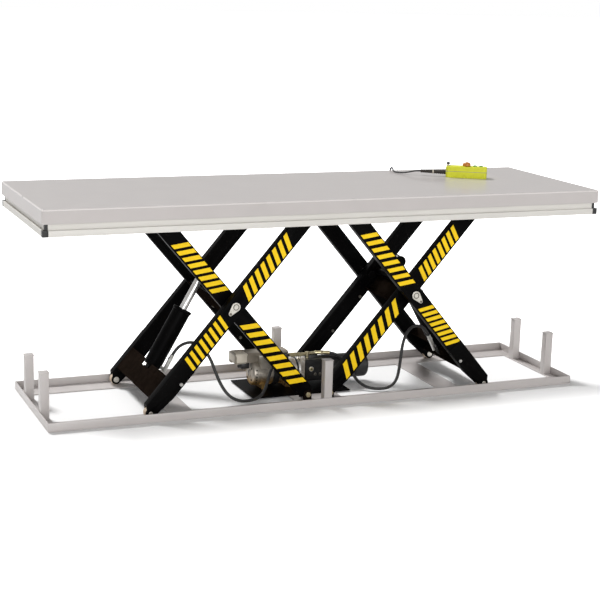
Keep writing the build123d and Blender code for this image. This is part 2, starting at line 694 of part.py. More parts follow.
def motor():
    """Motor with a rounded end bell and two feet."""
    body = along_x(MOTOR_START, MOTOR_END, MOTOR)
    body = fillet(body.edges().filter_by(GeomType.CIRCLE).sort_by(Axis.X)[0], 12)
    front, rear = PACK_Y - MOTOR_FOOT_WIDE, PACK_Y + MOTOR_FOOT_WIDE
    for x in (MOTOR_START + FOOT_FROM_END, MOTOR_END - FOOT_FROM_END):
        body += box(x - MOTOR_FOOT, x + MOTOR_FOOT, front, rear, FOOT_Z, PACK_Z - FOOT_INTO_SHELL)
    return body


def terminal_box():
    """Capacitor and terminal box on top of the motor, with a saddle cut to the motor's shell."""
    long, wide, tall = TERMINAL_BOX
    seat = PACK_Z + MOTOR
    middle = (TERMINAL_X, PACK_Y + TERMINAL_OFFSET, seat + (tall - TERMINAL_SUNK) / 2)
    body = Pos(*middle) * Box(long, wide, tall + TERMINAL_SUNK)
    body = fillet(body.edges().filter_by(Axis.X), 16)
    return body - along_x(MOTOR_START - 200, MOTOR_END + 200, MOTOR)


def motor_clamp():
    """Black strap round the motor."""
    x = MOTOR_START + STRAP_FROM_BELL
    ring = along_x(x - STRAP, x + STRAP, MOTOR + STRAP_THICK) - along_x(x - 2 * STRAP, x + 2 * STRAP, MOTOR)
    return ring - terminal_box()


def valve_block():
    """Silver manifold against the motor and the black valve body beside it."""
    front, rear, low, high = MANIFOLD_BOX
    silver = box(MOTOR_END, MANIFOLD_END, PACK_Y + front, PACK_Y + rear, low, high)
    front, rear, low, high = VALVE_BOX
    black = box(MANIFOLD_END, TANK_START, PACK_Y + front, PACK_Y + rear, low, high)
    black = chamfer(black.edges().filter_by(Axis.X), 4)
    return group([silver, black])


def oil_tank():
    """Round oil tank on a foot."""
    body = along_x(TANK_START, TANK_END, TANK)
    body = fillet(body.edges().filter_by(GeomType.CIRCLE).sort_by(Axis.X)[-1], 14)
    x = TANK_START + FOOT_FROM_END
    front, rear = PACK_Y - TANK_FOOT_WIDE, PACK_Y + TANK_FOOT_WIDE
    return body + box(x - TANK_FOOT, x + TANK_FOOT, front, rear, FOOT_Z, PACK_Z - FOOT_INTO_SHELL)


def power_pack_fittings():
    """Tee on the manifold with the two hose ferrules, and the ring screw on the valve body."""
    x, y, z = TEE
    body = rod_between(TEE, (x, y, z + TEE_HEIGHT), FERRULE)
    for hose in (LEFT_HOSE, RIGHT_HOSE):
        end = Vector(*hose[0])
        along = (Vector(*hose[1]) - end).normalized()
        knee = tuple(end - along * PACK_FERRULE)
        body += rod_between((x, y, z + TEE_HEIGHT - FERRULE), knee, FERRULE - 2)
        body += Pos(*knee) * Sphere(FERRULE - 1)
        body += rod_between(knee, tuple(end), FERRULE)
    x, z = RING_SCREW
    face = PACK_Y + VALVE_BOX[0]
    ring = across(x, z, face, face - RING_LENGTH, 9) - across(x, z, face, face - 2 * RING_LENGTH, 4)
    return group([body, ring])


def cord(name, points, diameter):
    """A round tube along straight runs joined by arcs as large as the runs allow."""
    places = [Vector(*p) for p in points]
    runs = [(b - a).length for a, b in zip(places, places[1:])]
    radii = []
    for i in range(1, len(places) - 1):
        turn = (places[i] - places[i - 1]).get_angle(places[i + 1] - places[i])
        radii.append(0.45 * min(runs[i - 1], runs[i]) / tan(radians(turn) / 2))
    path = FilletPolyline(*places, radius=radii)
    section = Plane(places[0], z_dir=places[1] - places[0]) * Circle(diameter / 2)
    tube = sweep(section, path)
    ideal = pi * diameter ** 2 / 4 * path.length
    print(name, "length", round(path.length), "least radius", round(min(radii), 1),
          "volume ratio", round(tube.volume / ideal, 4))
    return tube


def control_plane(z=0.0):
    """On the deck under the middle of the hand control, x towards its far end from the lead."""
    turn = radians(CONTROL_ANGLE)
    x, y = CONTROL_CENTRE
    return Plane((x, y, DECK_TOP + z), x_dir=(cos(turn), sin(turn), 0), z_dir=(0, 0, 1))


def control_body():
    """Box of the hand control with rounded corners and bores for its buttons."""
    body = Pos(0, 0, CONTROL_HEIGHT / 2) * Box(CONTROL_LENGTH, CONTROL_WIDTH, CONTROL_HEIGHT)
    body = fillet(body.edges().filter_by(Axis.Z), 14)
    body = fillet(body.edges().group_by(Axis.Z)[-1], 5)
    for x in KEY_PLACES:
        body -= Pos(x, 0, CONTROL_HEIGHT) * Cylinder(KEY_BUTTON + BUTTON_GAP, 24)
    body -= Pos(0, 0, CONTROL_HEIGHT) * Cylinder(STOP_BUTTON / 2 + BUTTON_GAP, 30)
    return control_plane().location * body


def stop_button():
    """Mushroom head on a stem."""
    stem = Pos(0, 0, CONTROL_HEIGHT + 2) * Cylinder(STOP_BUTTON / 2, 20)
    head = Pos(0, 0, CONTROL_HEIGHT + STOP_NECK) * standing(STOP_BUTTON, STOP_HEIGHT - STOP_NECK)
    head = fillet(head.edges().filter_by(GeomType.CIRCLE).sort_by(Axis.Z)[-1], 5)
    return control_plane().location * (stem + head)


def key_button(x):
    """A small push button that stands out of the control's top."""
    key = Pos(x, 0, CONTROL_HEIGHT + KEY_HEIGHT - 8) * Cylinder(KEY_BUTTON, 16)
    key = fillet(key.edges().filter_by(GeomType.CIRCLE).sort_by(Axis.Z)[-1], 2)
    return control_plane().location * key


def control_boot():
    """Tapered rubber strain relief at the lead's end of the control."""
    z = CONTROL_HEIGHT / 2 - BOOT_DROP
    cone = Cone(BOOT, BOOT_TIP, BOOT_LENGTH, align=(Align.CENTER, Align.CENTER, Align.MIN))
    body = Pos(-CONTROL_LENGTH / 2, 0, z) * Rot(0, -90, 0) * cone
    return control_plane().location * body


def boot_end():
    """Where the lead leaves the boot, and the direction it leaves in."""
    plane = control_plane()
    end = Vector(-CONTROL_LENGTH / 2 - BOOT_LENGTH, 0, CONTROL_HEIGHT / 2 - BOOT_DROP)
    return plane.from_local_coords(end), -plane.x_dir


def lead_clamp():
    """Clamp on the rear apron that the control's lead goes into."""
    y = DECK_WIDTH / 2
    left, right = CLAMP_X - CLAMP_HALF, CLAMP_X + CLAMP_HALF
    body = box(left, right, y, y + CLAMP_DEPTH, CLAMP_TOP - CLAMP_HEIGHT, CLAMP_TOP)
    return chamfer(body.edges().filter_by(Axis.Z).sort_by(Axis.Y)[-2:], 4)


def control_lead_points():
    """Route of the lead, out of the boot, over the deck's rear edge and down into its clamp."""
    start, way = boot_end()
    return [
        tuple(start), tuple(start + 24 * way), (680, 252, 1005), (656, 275, 998), (638, 306, 995.5),
        (634, 342, 995), (643, 373, 997), (653, 402, 1004), (659, 427.4, 1005.5), (661, 445, 988),
        (CLAMP_X, 445, CLAMP_TOP),
    ]


def write(name, shape):
    """Write one node."""
    export_step(shape, "parts/" + name + ".step")


def write_scissor(side):
    """All nodes of one scissor; the right one is the left one's mirror image."""
    def place(shape):
        return shape if side == "left" else mirror(shape, about=Plane.YZ)
    for kind in ("inner", "outer"):
        for front in (True, False):
            where = "front" if front else "rear"
            write(f"{side}_{kind}_{where}_arm", place(left_arm(kind, front)))
            level = "upper" if kind == "inner" else "lower"
            write(f"{side}_{level}_{where}_roller", place(roller(kind, front)))
    write(f"{side}_inner_cross_tube", place(inner_cross_tube()))
    write(f"{side}_inner_axles", place(inner_axles()))
    write(f"{side}_outer_cross_plate", place(outer_cross_plate()))
    write(f"{side}_outer_pins", place(outer_pins()))
    write(f"{side}_cylinder_barrel", place(cylinder_barrel()))
    write(f"{side}_cylinder_rod", place(cylinder_rod()))
    fitting = port_fitting()
    write(f"{side}_port_fitting", place(fitting))


def main():
    """Write every node."""
    os.makedirs("parts", exist_ok=True)
    write("side_rails", side_rails())
    write("end_rails", end_rails())
    write("base_cross_plates", base_cross_plates())
    write("stop_posts", stop_posts())
    write("post_caps", post_caps())
    write("base_pivot_lugs", base_lugs())
    write("base_pivot_bolts", base_bolts())
    write("power_pack_plate", power_pack_plate())
    write("motor", motor())
    write("terminal_box", terminal_box())
    write("motor_clamp", motor_clamp())
    write("valve_block", valve_block())
    write("oil_tank", oil_tank())
    write("power_pack_fittings", power_pack_fittings())
    write("left_hose", cord("left_hose", LEFT_HOSE, HOSE))
    write("right_hose", cord("right_hose", RIGHT_HOSE, HOSE))
    write_scissor("left")
    write_scissor("right")
    write("platform_deck", platform_deck())
    write("platform_ribs", platform_ribs())
    write("platform_pivot_lugs", platform_lugs())
    write("platform_pivot_bolts", platform_bolts())
    write("trip_bars", trip_bars())
    write("trip_corners", trip_corners())
    write("trip_hangers", trip_hangers())
    write("control_body", control_body())
    write("stop_button", stop_button())
    write("raise_button", key_button(KEY_PLACES[0]))
    write("lower_button", key_button(KEY_PLACES[1]))
    write("control_boot", control_boot())
    write("lead_clamp", lead_clamp())
    write("control_lead", cord("control_lead", control_lead_points(), LEAD))
    print("fold range", round(FOLD_RANGE, 3), "roller x", round(ROLLER_X, 2),
          "top pivot z", round(TOP_PIVOT_Z, 2), "deck top", round(DECK_TOP, 2))


main()
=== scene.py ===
"""Looks of the tandem scissor lift table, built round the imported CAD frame. Metres, +Z up."""
import json
from math import cos, pi, radians, sin

import bmesh
import bpy
from mathutils import Matrix, Vector

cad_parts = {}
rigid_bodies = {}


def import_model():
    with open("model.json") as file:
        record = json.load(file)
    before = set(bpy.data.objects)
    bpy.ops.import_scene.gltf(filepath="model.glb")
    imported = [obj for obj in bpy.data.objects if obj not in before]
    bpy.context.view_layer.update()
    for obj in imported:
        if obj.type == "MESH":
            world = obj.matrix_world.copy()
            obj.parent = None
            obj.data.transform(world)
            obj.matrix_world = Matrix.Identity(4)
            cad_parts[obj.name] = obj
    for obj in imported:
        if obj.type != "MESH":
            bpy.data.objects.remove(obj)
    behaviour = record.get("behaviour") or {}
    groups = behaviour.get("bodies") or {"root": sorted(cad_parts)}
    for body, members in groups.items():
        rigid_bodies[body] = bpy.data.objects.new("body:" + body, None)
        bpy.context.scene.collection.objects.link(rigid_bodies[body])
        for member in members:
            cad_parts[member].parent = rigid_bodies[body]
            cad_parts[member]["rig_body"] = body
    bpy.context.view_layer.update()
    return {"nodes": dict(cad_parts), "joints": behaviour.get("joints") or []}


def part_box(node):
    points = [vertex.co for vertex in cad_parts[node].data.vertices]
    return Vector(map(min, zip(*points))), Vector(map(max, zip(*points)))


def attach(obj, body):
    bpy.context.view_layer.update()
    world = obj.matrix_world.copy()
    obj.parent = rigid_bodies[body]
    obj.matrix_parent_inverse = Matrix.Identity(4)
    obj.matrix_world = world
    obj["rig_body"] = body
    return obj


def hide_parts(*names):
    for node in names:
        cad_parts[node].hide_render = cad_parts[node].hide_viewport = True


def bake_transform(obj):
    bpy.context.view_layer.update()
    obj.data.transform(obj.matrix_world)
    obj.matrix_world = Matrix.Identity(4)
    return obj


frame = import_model()

# ---- places that the frame gives ----
DECK_LOW, DECK_HIGH = (Vector(corner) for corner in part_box("platform_deck"))
CONTROL_LOW, CONTROL_HIGH = (Vector(corner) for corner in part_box("control_body"))
MOTOR_LOW, MOTOR_HIGH = (Vector(corner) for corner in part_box("motor"))
BASE_HALF_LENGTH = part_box("side_rails")[1][0]
BASE_HALF_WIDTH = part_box("side_rails")[1][1]
joint = {j["name"]: j for j in frame["joints"]}
BASE_PIVOT = Vector(joint["lift_fold"]["pos_m"])
TOP_PIVOT = Vector(joint["left_platform_pivot"]["pos_m"])
ROLLER_PIVOT = Vector(joint["left_lower_front_roller_spin"]["pos_m"])
ARM_LENGTH = (TOP_PIVOT - ROLLER_PIVOT).length
RAISED = (TOP_PIVOT - ROLLER_PIVOT).normalized()
SIDES = {"left": -1, "right": 1}

# ---- sizes that pieces share ----
APRON = 0.005                  # wall of the deck's apron
DECK_PLATE = 0.004             # the deck's top
DECK_EDGE = 0.006              # radius of the deck's rounded edges
OUTER_FACE = 0.306             # from the table's middle to the outer arms' outer faces
INNER_FACE = 0.225             # and to the inner arms' outer faces
ARM_WIDTH = 0.040
DOUBLER = 0.004                # plate on the lower end of the outer arms
LOCK_PLATE = 0.005             # on each centre pin's end
LOCK_REACH = 0.040             # from the pin's axis to the plate's tail
SKIN = 0.0004                  # how far a printed film stands off the steel
MOTOR_SHELL = 0.060            # the motor's radius
MOTOR_AXIS = Vector((0, MOTOR_LOW.y + MOTOR_SHELL, MOTOR_HIGH.z - MOTOR_SHELL))
CONTROL_TURN = radians(-31)
CONTROL_HALF = 0.1025          # half the control's length
CONTROL_THICK = 0.033          # half its width
BOOT_LENGTH = 0.127
BOOT_WIDE = 0.0115             # radius at the control
BOOT_NARROW = 0.0080           # radius at the lead
BOOT_HEIGHT = 0.022            # the boot's axis over the deck
HOSE = 0.0075                  # radius
LEAD = 0.004                   # radius

# ---- edges and shading ----
SAME_PLACE = 2e-6              # corners nearer than this are one
FLAT = radians(1)              # faces that meet at less are one face
ROUNDED = radians(38)          # edges sharper than this get a bevel
CREASE = radians(32)           # edges sharper than this stay crisp on plain pieces
FINE_CREASE = radians(17)      # and on bevelled ones
COAT_ROUGHNESS = 0.12
BUMP_DEPTH = 0.0006


# ---- scene ----
CAMERA_PLACE = Vector((-2.6476, -6.2294, 1.9741))
CAMERA_YAW = 0.3964            # radians, from +Y towards +X
CAMERA_PITCH = 0.2277          # downwards
CAMERA_ROLL = 0.0291
CAMERA_LENS = 86.24
CAMERA_SHIFT = 0.0090
WORLD_DIM = 0.27               # what the white world gives as light
WORLD_GLOSS = 0.5              # and what glossy surfaces see of it
FADE_START = 0.05              # the floor turns plain white between these distances from the base frame
FADE_END = 0.32
FLOOR_HALF = 60
FLOOR_DROP = 0.0005
FLOOR_TONE = 0.92


def make_camera():
    """The camera of the main view."""
    yaw, pitch, roll = CAMERA_YAW, CAMERA_PITCH, CAMERA_ROLL
    ahead = Vector((sin(yaw) * cos(pitch), cos(yaw) * cos(pitch), -sin(pitch)))
    level = ahead.cross(Vector((0, 0, 1))).normalized()
    over = level.cross(ahead)
    right = cos(roll) * level + sin(roll) * over
    up = cos(roll) * over - sin(roll) * level
    data = bpy.data.cameras.new("camera")
    data.lens = CAMERA_LENS
    data.sensor_width = 36
    data.shift_x = CAMERA_SHIFT
    data.shift_y = CAMERA_SHIFT
    camera = bpy.data.objects.new("camera", data)
    camera.matrix_world = Matrix((right, up, -ahead)).transposed().to_4x4()
    camera.location = CAMERA_PLACE
    bpy.context.scene.collection.objects.link(camera)
    bpy.context.scene.camera = camera


def soft_sun(name, azimuth, elevation, spread, strength):
    """A broad distant light, its angles in degrees; azimuth 0 comes from +X and 90 from the rear."""
    data = bpy.data.lights.new(name, "SUN")
    data.energy = strength
    data.angle = radians(spread)
    light = bpy.data.objects.new(name, data)
    turn, rise = radians(azimuth), radians(elevation)
    came_from = Vector((cos(rise) * cos(turn), cos(rise) * sin(turn), sin(rise)))
    light.rotation_euler = came_from.to_track_quat("Z", "Y").to_euler()
    bpy.context.scene.collection.objects.link(light)


def reckon(nodes, links, operation, *values):
    """The result of a maths node; a value is a number or another node's output."""
    made = nodes.new("ShaderNodeMath")
    made.operation = operation
    for socket, value in zip(made.inputs, values):
        if isinstance(value, (int, float)):
            socket.default_value = value
        else:
            links.new(value, socket)
    return made.outputs[0]


def white_to_camera(nodes, links):
    """A strength of 1 for camera and transmission rays, less for glossy ones and least for the rest."""
    path = nodes.new("ShaderNodeLightPath")
    brightest = reckon(nodes, links, "MULTIPLY", path.outputs["Is Glossy Ray"], WORLD_GLOSS)
    for name in ("Is Camera Ray", "Is Transmission Ray"):
        brightest = reckon(nodes, links, "MAXIMUM", path.outputs[name], brightest)
    return reckon(nodes, links, "MAXIMUM", brightest, WORLD_DIM)


def coordinate(nodes, links, axis, middle):
    """How far a point lies from a middle plane along one axis of the object's coordinates."""
    where = nodes.new("ShaderNodeTexCoord")
    parts = nodes.new("ShaderNodeSeparateXYZ")
    links.new(where.outputs["Object"], parts.inputs[0])
    offset = reckon(nodes, links, "SUBTRACT", parts.outputs[axis], middle)
    return reckon(nodes, links, "ABSOLUTE", offset)


def fade_to_white(nodes, links, shader):
    """The floor shows its shadows near the base frame and is plain white to the camera beyond it."""
    beyond = [reckon(nodes, links, "SUBTRACT", coordinate(nodes, links, axis, 0.0), half)
              for axis, half in (("X", BASE_HALF_LENGTH), ("Y", BASE_HALF_WIDTH))]
    farther = reckon(nodes, links, "MAXIMUM", *beyond)
    faded = between(nodes, links, farther, 0.0, 1.0, FADE_START, FADE_END)
    path = nodes.new("ShaderNodeLightPath")
    shader.inputs["Emission Color"].default_value = (1, 1, 1, 1)
    links.new(reckon(nodes, links, "MULTIPLY", faded, path.outputs["Is Camera Ray"]),
              shader.inputs["Emission Strength"])


def make_world():
    """A white world that gives only a little light."""
    world = bpy.data.worlds.new("studio")
    world.use_nodes = True
    bpy.context.scene.world = world
    nodes, links = world.node_tree.nodes, world.node_tree.links
    background = nodes["Background"]
    background.inputs["Color"].default_value = (1, 1, 1, 1)
    links.new(white_to_camera(nodes, links), background.inputs["Strength"])


def make_floor():
    """A wide pale floor just under the base frame."""
    mesh = bpy.data.meshes.new("floor")
    corners = [(x * FLOOR_HALF, y * FLOOR_HALF, 0) for x, y in ((-1, -1), (1, -1), (1, 1), (-1, 1))]
    mesh.from_pydata(corners, [], [(0, 1, 2, 3)])
    floor = bpy.data.objects.new("floor", mesh)
    floor.location.z = -FLOOR_DROP
    bpy.context.scene.collection.objects.link(floor)
    paint, nodes, links = new_material("floor")
    shader = nodes["Principled BSDF"]
    shader.inputs["Base Color"].default_value = (FLOOR_TONE, FLOOR_TONE, FLOOR_TONE, 1)
    shader.inputs["Roughness"].default_value = 0.9
    shader.inputs["Specular IOR Level"].default_value = 0.0
    fade_to_white(nodes, links, shader)
    mesh.materials.append(paint)


def make_surroundings():
    """World, floor, a sun from the rear and a broad low fill from the front."""
    make_world()
    make_floor()
    soft_sun("key", azimuth=106, elevation=46, spread=12, strength=3.15)
    soft_sun("fill", azimuth=-96, elevation=9, spread=50, strength=2.1)
    bpy.context.scene.view_settings.view_transform = "Standard"


# ---- materials ----
def new_material(name):
    """A new material with its nodes and links."""
    material = bpy.data.materials.new(name)
    material.use_nodes = True
    return material, material.node_tree.nodes, material.node_tree.links


def noise(nodes, links, scale, detail=3.0, stretch=(1, 1, 1)):
    """Noise on object coordinates."""
    where = nodes.new("ShaderNodeTexCoord")
    mapping = nodes.new("ShaderNodeMapping")
    mapping.inputs["Scale"].default_value = stretch
    grain = nodes.new("ShaderNodeTexNoise")
    grain.inputs["Scale"].default_value = scale
    grain.inputs["Detail"].default_value = detail
    links.new(where.outputs["Object"], mapping.inputs["Vector"])
    links.new(mapping.outputs["Vector"], grain.inputs["Vector"])
    return grain.outputs["Fac"]


def between(nodes, links, factor, low, high, start=0.3, end=0.7):
    """A number that runs from low to high as factor runs from start to end."""
    span = nodes.new("ShaderNodeMapRange")
    span.inputs["From Min"].default_value = start
    span.inputs["From Max"].default_value = end
    span.inputs["To Min"].default_value = low
    span.inputs["To Max"].default_value = high
    links.new(factor, span.inputs["Value"])
    return span.outputs["Result"]


def two_tints(nodes, links, factor, first, second, start=0.3, end=0.7):
    """A colour that runs from one tint to another as factor runs from start to end."""
    ramp = nodes.new("ShaderNodeValToRGB")
    ramp.color_ramp.elements[0].position = start
    ramp.color_ramp.elements[1].position = end
    ramp.color_ramp.elements[0].color = (*first, 1)
    ramp.color_ramp.elements[1].color = (*second, 1)
    links.new(factor, ramp.inputs["Fac"])
    return ramp.outputs["Color"]


def fill_shader(nodes, links, shader, first, second, roughness, metallic=0.0, grain=40.0, bump=0.0,
                bump_grain=300.0, stretch=(1, 1, 1), coat=0.0, specular=0.5):
    """Two close tints, uneven roughness and a fine bump on one shader."""
    shader.inputs["Metallic"].default_value = metallic
    shader.inputs["Specular IOR Level"].default_value = specular
    shader.inputs["Coat Weight"].default_value = coat
    shader.inputs["Coat Roughness"].default_value = COAT_ROUGHNESS
    patches = noise(nodes, links, grain, 4.0, stretch)
    links.new(two_tints(nodes, links, patches, first, second), shader.inputs["Base Color"])
    links.new(between(nodes, links, patches, *roughness), shader.inputs["Roughness"])
    if bump:
        fine = noise(nodes, links, bump_grain, 2.0, stretch)
        relief = nodes.new("ShaderNodeBump")
        relief.inputs["Strength"].default_value = bump
        relief.inputs["Distance"].default_value = BUMP_DEPTH
        links.new(fine, relief.inputs["Height"])
        links.new(relief.outputs["Normal"], shader.inputs["Normal"])


def finish_surface(name, *looks, **more):
    """A material with one finish all over."""
    material, nodes, links = new_material(name)
    fill_shader(nodes, links, nodes["Principled BSDF"], *looks, **more)
    return material


def split_surface(name, near, far, axis, edge, soft, middle=0.0):
    """A material with one finish near a middle plane and another past an edge, both ways from it."""
    material, nodes, links = new_material(name)
    shaders = [nodes["Principled BSDF"], nodes.new("ShaderNodeBsdfPrincipled")]
    for shader, (looks, more) in zip(shaders, (near, far)):
        fill_shader(nodes, links, shader, *looks, **more)
    away = coordinate(nodes, links, axis, middle)
    mixed = nodes.new("ShaderNodeMixShader")
    links.new(between(nodes, links, away, 0.0, 1.0, edge - soft, edge + soft), mixed.inputs[0])
    links.new(shaders[0].outputs[0], mixed.inputs[1])
    links.new(shaders[1].outputs[0], mixed.inputs[2])
    links.new(mixed.outputs[0], nodes["Material Output"].inputs["Surface"])
    return material


def make_materials():
    """One material for each finish: two tints, the range of its roughness, and what else it needs."""
    made = {}

    def add(name, *looks, slot=None, **more):
        made[name] = finish_surface(name + "_finish", *looks, **more)
        made[name]["slot"] = slot or name

    def add_split(name, near, far, axis, edge, soft, slot, middle=0.0):
        made[name] = split_surface(name + "_finish", near, far, axis, edge, soft, middle)
        made[name]["slot"] = slot

    paint = ((0.498, 0.465, 0.451), (0.518, 0.484, 0.470), (0.32, 0.40))
    # lighter tints that paint a highlight along the deck's rounded top edge
    painted_edge_highlight = ((0.74, 0.70, 0.68), (0.76, 0.72, 0.70), (0.26, 0.34))
    paint_grain = dict(grain=9, bump=0.10, bump_grain=420, coat=0.3)
    add("frame_paint", *paint, **paint_grain)
    # the band of the deck's rounded top edge gets the lighter tints, a painted highlight; the rest gets the
    # plain paint
    add_split("deck_paint_with_edge_highlight", (painted_edge_highlight, paint_grain), (paint, paint_grain), "Z", edge=0.45 * DECK_EDGE,
              soft=0.0004, slot="frame_paint", middle=DECK_HIGH.z - 0.55 * DECK_EDGE)
    add("arm_paint", (0.0015, 0.0014, 0.0016), (0.0030, 0.0028, 0.0028), (0.36, 0.48), grain=14,
        bump=0.10, bump_grain=500, specular=0.03)
    add("worn_black", (0.0075, 0.0052, 0.0040), (0.0130, 0.0090, 0.0068), (0.5, 0.65), grain=30,
        bump=0.15, bump_grain=400, specular=0.0, slot="arm_paint")
    add("zinc", (0.52, 0.51, 0.48), (0.72, 0.71, 0.68), (0.28, 0.45), metallic=1.0, grain=160,
        bump=0.08, bump_grain=900)
    add("yellow_zinc", (0.55, 0.46, 0.25), (0.72, 0.66, 0.46), (0.25, 0.42), metallic=1.0, grain=120,
        bump=0.06, bump_grain=800)
    add("chrome", (0.86, 0.85, 0.83), (0.92, 0.91, 0.89), (0.16, 0.24), metallic=0.8, grain=60,
        bump=0.05, bump_grain=700)
    add("aluminium_profile", (0.64, 0.62, 0.58), (0.70, 0.68, 0.64), (0.4, 0.52), metallic=0.08,
        grain=20, stretch=(0.2, 1, 4), bump=0.04, bump_grain=500, specular=0.3)
    alloy = (((0.38, 0.345, 0.295), (0.62, 0.575, 0.505), (0.30, 0.5)),
             dict(metallic=0.85, grain=26, bump=0.35, bump_grain=260))
    oily = (((0.22, 0.120, 0.030), (0.46, 0.29, 0.100), (0.3, 0.5)),
            dict(metallic=0.6, grain=34, bump=0.35, bump_grain=260))
    moulded = (((0.006, 0.006, 0.0065), (0.012, 0.012, 0.012), (0.3, 0.45)),
               dict(grain=50, bump=0.15, specular=0.35))
    bright = (((0.54, 0.51, 0.45), (0.74, 0.71, 0.65), (0.28, 0.45)),
              dict(metallic=1.0, grain=160, bump=0.08, bump_grain=900))
    painted = (((0.0015, 0.0014, 0.0016), (0.003, 0.0028, 0.0028), (0.4, 0.5)), dict(specular=0.08))
    add("cast_aluminium", *alloy[0], **alloy[1])
    add_split("motor_alloy", oily, alloy, "Z", edge=0.062, soft=0.018, slot="cast_aluminium")
    add_split("valve_body", alloy, moulded, "X", edge=0.0135, soft=0.0003, slot="cast_aluminium")
    add_split("pin_metal", painted, bright, "Y", edge=0.240, soft=0.001, slot="zinc")
    add("dull_zinc", (0.10, 0.092, 0.078), (0.17, 0.158, 0.135), (0.4, 0.55), metallic=0.7, grain=120,
        bump=0.1, slot="zinc")
    add("steel_shade", (0.30, 0.27, 0.22), (0.38, 0.35, 0.30), (0.4, 0.5), grain=30, bump=0.1,
        slot="box_beige")
    add("pale_beige", (0.60, 0.55, 0.45), (0.68, 0.62, 0.52), (0.35, 0.5), grain=24, bump=0.1,
        slot="box_beige")
    add("black_rubber", (0.018, 0.018, 0.018), (0.03, 0.029, 0.028), (0.45, 0.6), grain=80,
        bump=0.12, bump_grain=600)
    add("roller_nylon", (0.58, 0.46, 0.34), (0.68, 0.56, 0.43), (0.45, 0.6), grain=60, bump=0.1)
    add("black_plastic", (0.012, 0.012, 0.012), (0.02, 0.02, 0.02), (0.3, 0.42), grain=60,
        bump=0.12, bump_grain=900)
    add("control_yellow", (0.66, 0.68, 0.02), (0.74, 0.76, 0.03), (0.42, 0.55), grain=40,
        bump=0.12, bump_grain=1200)
    add("stop_orange", (0.46, 0.14, 0.010), (0.54, 0.19, 0.016), (0.25, 0.36), grain=50, coat=0.3)
    add("boot_brown", (0.020, 0.015, 0.011), (0.034, 0.026, 0.019), (0.45, 0.6), grain=80, bump=0.12,
        slot="black_rubber")
    add("key_green", (0.20, 0.36, 0.10), (0.26, 0.42, 0.13), (0.3, 0.42), grain=80)
    add("box_beige", (0.22, 0.190, 0.150), (0.29, 0.255, 0.205), (0.35, 0.5), grain=18, bump=0.12)
    add("hazard_yellow", (0.96, 0.62, 0.006), (0.99, 0.67, 0.010), (0.4, 0.5), grain=30, specular=0.2)
    return made


# ---- shapes ----
def piece(name, mesh, material, body, smooth=True):
    """A finished piece: its place in its mesh, its object at the origin, riding on a body."""
    made = bpy.data.objects.new(name, mesh)
    bpy.context.scene.collection.objects.link(made)
    if material is not None:
        mesh.materials.clear()
        mesh.materials.append(material)
    if smooth:
        mesh.shade_smooth()
        mesh.set_sharp_from_angle(angle=CREASE)
    if body:
        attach(made, body)
    return made


def applied(made):
    """The plain mesh of an object with its modifiers applied, and the modifiers removed."""
    bpy.context.view_layer.update()
    seen = made.evaluated_get(bpy.context.evaluated_depsgraph_get())
    mesh = bpy.data.meshes.new_from_object(seen)
    made.modifiers.clear()
    made.data = mesh
    return made


def softened(node, radius, material, segments=2):
    """A copy of a CAD node with its sharp edges rounded, in place of the node."""
    cad = frame["nodes"][node]
    mesh = cad.data.copy()
    if "custom_normal" in mesh.attributes:
        mesh.attributes.remove(mesh.attributes["custom_normal"])
    shape = bmesh.new()
    shape.from_mesh(mesh)
    bmesh.ops.remove_doubles(shape, verts=shape.verts, dist=SAME_PLACE)
    bmesh.ops.dissolve_limit(shape, angle_limit=FLAT, verts=shape.verts, edges=shape.edges)
    shape.to_mesh(mesh)
    shape.free()
    body = cad["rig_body"]
    made = piece(node + ".shell", mesh, material, None)
    bevel = made.modifiers.new("round", "BEVEL")
    bevel.width = radius
    bevel.segments = segments
    bevel.limit_method = "ANGLE"
    bevel.angle_limit = ROUNDED
    bevel.use_clamp_overlap = True
    applied(made)
    made.data.shade_smooth()
    made.data.set_sharp_from_angle(angle=FINE_CREASE)
    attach(made, body)
    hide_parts(node)
    return made


def dress(node, material):
    """Gives a CAD node its finish."""
    cad = frame["nodes"][node]
    cad.data.materials.clear()
    cad.data.materials.append(material)
    cad.data.shade_smooth()
    cad.data.set_sharp_from_angle(angle=CREASE)


def shell(name, draw, material, body, smooth=True):
    """A closed piece that draw() builds in an empty mesh."""
    shape = bmesh.new()
    draw(shape)
    bmesh.ops.recalc_face_normals(shape, faces=shape.faces)
    mesh = bpy.data.meshes.new(name)
    shape.to_mesh(mesh)
    shape.free()
    return piece(name, mesh, material, body, smooth)


def turned(shape, start, way, profile, sides=40, closed=False):
    """A turned body: profile holds (distance along the axis, radius), from pole to pole or as a ring."""
    way = Vector(way).normalized()
    aside = way.orthogonal().normalized()
    up = way.cross(aside)
    rings = []
    for along, radius in profile:
        middle = Vector(start) + way * along
        turns = [2 * pi * i / sides for i in range(sides)] if radius else [0.0]
        rings.append([shape.verts.new(middle + radius * (cos(t) * aside + sin(t) * up)) for t in turns])
    pairs = list(zip(rings, rings[1:]))
    if closed:
        pairs.append((rings[-1], rings[0]))
    for low, high in pairs:
        for i in range(sides):
            j = (i + 1) % sides
            corners = [low[i % len(low)], low[j % len(low)], high[j % len(high)], high[i % len(high)]]
            corners = list(dict.fromkeys(corners))
            if len(corners) > 2:
                shape.faces.new(corners)


def block(shape, low, high, place=Matrix(), soft=0.0):
    """A box between two corners in its own measures, its edges rounded if soft is given."""
    spans = list(zip(low, high))
    corners = [Vector((x, y, z)) for x in spans[0] for y in spans[1] for z in spans[2]]
    verts = [shape.verts.new(place @ corner) for corner in corners]
    sides = ((0, 1, 3, 2), (4, 6, 7, 5), (0, 4, 5, 1), (2, 3, 7, 6), (0, 2, 6, 4), (1, 5, 7, 3))
    faces = [shape.faces.new([verts[i] for i in side]) for side in sides]
    if soft:
        edges = list(dict.fromkeys(edge for face in faces for edge in face.edges))
        bmesh.ops.bevel(shape, geom=edges, offset=soft, segments=2, affect="EDGES", profile=0.5)


